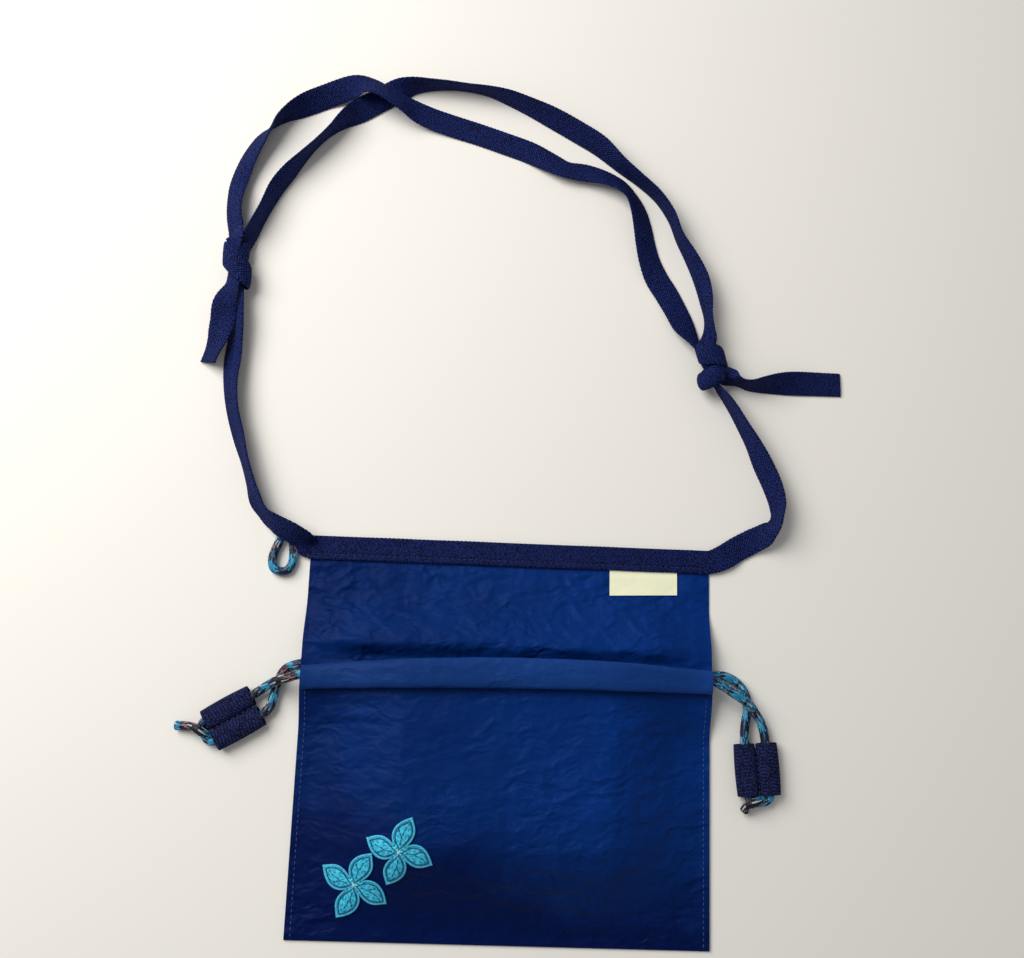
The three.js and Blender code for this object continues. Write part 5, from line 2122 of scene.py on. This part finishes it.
@dataclass
class WovenLabel:
    """A bare satin label, tucked under the tape by its upper edge."""

    cloth: PouchCloth
    tilt: float = 2.4
    thickness: float = 0.4
    tucked: float = 2.0
    lift: float = 0.25
    loose_lift: float = 0.2
    wave: float = 0.35
    wave_size: Pair = (14.0, 9.0)
    seed: int = 31
    sewn_from: float = 2.5
    columns: int = 62
    rows: int = 24

    def build(self) -> None:
        """Makes the label, which lies on the back panel with a slight wave."""
        low, high = self.cloth.label_low, self.cloth.label_high
        xs = np.linspace(low.x, high.x, self.columns)
        ys = np.linspace(low.y, high.y + self.tucked, self.rows)
        x, y = np.meshgrid(xs, ys)
        wave = CrinkleField(self.seed).smooth(x / self.wave_size[0], y / self.wave_size[1])
        leaned_y = y + (x - (low.x + high.x) / 2) * math.tan(math.radians(self.tilt))
        loose = 1 - smoothstep(y, high.y - self.sewn_from, high.y)
        lift = self.lift + (self.loose_lift + self.wave * np.abs(wave)) * loose
        grid = np.stack([x, leaned_y, self.cloth.back_surface(x, leaned_y) + lift], axis=-1)
        draft = MeshDraft()
        draft.add_shell(grid, self.thickness, ys, xs)
        piece = draft.build("label_satin_woven", Wardrobe.LABEL, sharp=CLOTH_EDGE)
        settle(piece, Body.POUCH, Slot.LABEL, "label")


@dataclass
class PouchSeams:
    """The topstitching of the pouch: both side seams and the row that sews the tape down."""

    cloth: PouchCloth
    edge: float = 2.6
    above_fold: float = 2.0
    below_mouth: float = 12.5
    side_lift: float = 0.12
    side_points: int = 90
    tape_inset: float = 2.85
    tape_margin: float = 1.5
    tape_sunk: float = 0.35
    tape_points: int = 120

    def build(self) -> None:
        """Sews the rows."""
        first, last = self.cloth.bottom + self.above_fold, self.cloth.mouth_y - self.below_mouth
        ys = np.linspace(first, last, self.side_points)
        sides = []
        for side in (-1, 1):
            x = np.full_like(ys, side * (self.cloth.half_width - self.edge))
            sides.append(np.column_stack([x, ys, self.cloth.front_surface(x, ys) + self.side_lift]))
        row = StitchRow(pitch=2.35, length=1.5, thread=0.44)
        settle(row.sew("side_seam_stitches", sides, Wardrobe.SEAM), Body.POUCH, Slot.NYLON)
        low, high = (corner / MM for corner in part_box("top_tape"))
        xs = np.linspace(low.x + self.tape_margin, high.x - self.tape_margin, self.tape_points)
        y, z = low.y + self.tape_inset, high.z - self.tape_sunk
        groove = np.column_stack([xs, np.full_like(xs, y), np.full_like(xs, z)])
        row = StitchRow(pitch=2.6, length=2.0, thread=0.5, seed=12)
        settle(row.sew("tape_stitches", [groove], Wardrobe.DARK_SEAM), Body.POUCH, Slot.TAPE)


# The studio


@dataclass
class Studio:
    """A plain pale floor, a soft light near the upper left, a dim room and the photograph's camera."""

    camera_place: tuple[float, float, float] = (-17.0, 24.7, 472.9)
    camera_turn: tuple[float, float, float] = (10.74, -2.37, 2.42)
    focal_px: float = 1050.0
    frame_px: float = 1024.0
    sensor: float = 36.0
    nearest: float = 10.0
    floor_half: float = 1500.0
    floor_drop: float = 0.02
    key_place: tuple[float, float, float] = (-560.0, 470.0, 660.0)
    key_aim: tuple[float, float, float] = (-60.0, 110.0, 0.0)
    key_size: float = 690.0
    key_watts: float = 9.0
    key_colour: str = "#fffcf6"
    room_colour: str = "#f4f3f1"
    room_light: float = 0.3
    room_look: float = 0.6

    def camera(self) -> None:
        """Places the camera at the photograph's viewing angle, as fitted to the photograph."""
        data = bpy.data.cameras.new("portrait_camera")
        data.sensor_fit = "HORIZONTAL"
        data.sensor_width = self.sensor
        data.lens = self.focal_px / self.frame_px * self.sensor
        data.clip_start = self.nearest * MM
        camera = bpy.data.objects.new("portrait_camera", data)
        camera.rotation_mode = "YXZ"
        camera.location = Vector(self.camera_place) * MM
        camera.rotation_euler = Euler([math.radians(a) for a in self.camera_turn], "YXZ")
        bpy.context.scene.collection.objects.link(camera)
        bpy.context.scene.camera = camera

    def floor(self) -> None:
        """Lays a plain pale floor under the part."""
        sides = np.array([(-1, -1, 0), (1, -1, 0), (1, 1, 0), (-1, 1, 0)])
        draft = MeshDraft()
        draft.add_points(sides * self.floor_half - (0, 0, self.floor_drop))
        draft.add_face([0, 1, 2, 3], [(0.0, 0.0)] * 4)
        draft.build("floor", Wardrobe.FLOOR)

    def lights(self) -> None:
        """Sets up the soft light and the dim room, which looks paler than it lights."""
        data = bpy.data.lights.new("key_window", "AREA")
        data.size = self.key_size * MM
        data.energy = self.key_watts
        data.color = linear(self.key_colour)[:3]
        lamp = bpy.data.objects.new("key_window", data)
        lamp.location = Vector(self.key_place) * MM
        lamp.visible_camera = False
        aim = Vector(self.key_aim) * MM - lamp.location
        lamp.rotation_euler = aim.to_track_quat("-Z", "Y").to_euler()
        bpy.context.scene.collection.objects.link(lamp)
        world = bpy.data.worlds.new("pale_room")
        world.use_nodes = True
        tree = world.node_tree
        back = tree.nodes["Background"].inputs
        back["Color"].default_value = linear(self.room_colour)
        seen = add_node(tree, "ShaderNodeLightPath").outputs["Is Camera Ray"]
        strength = add_node(tree, MATH, [seen, self.room_look, self.room_light], "MULTIPLY_ADD")
        tree.links.new(strength.outputs[0], back["Strength"])
        bpy.context.scene.world = world
        bpy.context.scene.view_settings.view_transform = "Standard"


def main() -> None:
    """Builds the camera and the cords, then the cloth, the trim and the light."""
    logging.basicConfig(level=logging.INFO, format="%(name)s %(message)s")
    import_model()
    studio = Studio()
    studio.camera()
    cloth = PouchCloth()
    front, rear = FrontCasing(cloth), RearCasing(cloth)
    ShoulderStrap().build()
    cords = Drawcords()
    cords.drawcord("front", front)
    cords.drawcord("rear", rear)
    for name in KEEPER_SITES:
        cords.end_knot(name)
    cords.key_loop()
    cloth.build()
    front.build()
    rear.build()
    TopBinding().build()
    WovenLabel(cloth).build()
    for name, site in FLOWERS.items():
        FlowerPatch(name, site, cloth).build()
    for name, site in KEEPER_SITES.items():
        WebbingKeeper().build(f"keeper_{name}", site)
    PouchSeams(cloth).build()
    studio.floor()
    studio.lights()


if __name__ == "__main__":
    main()
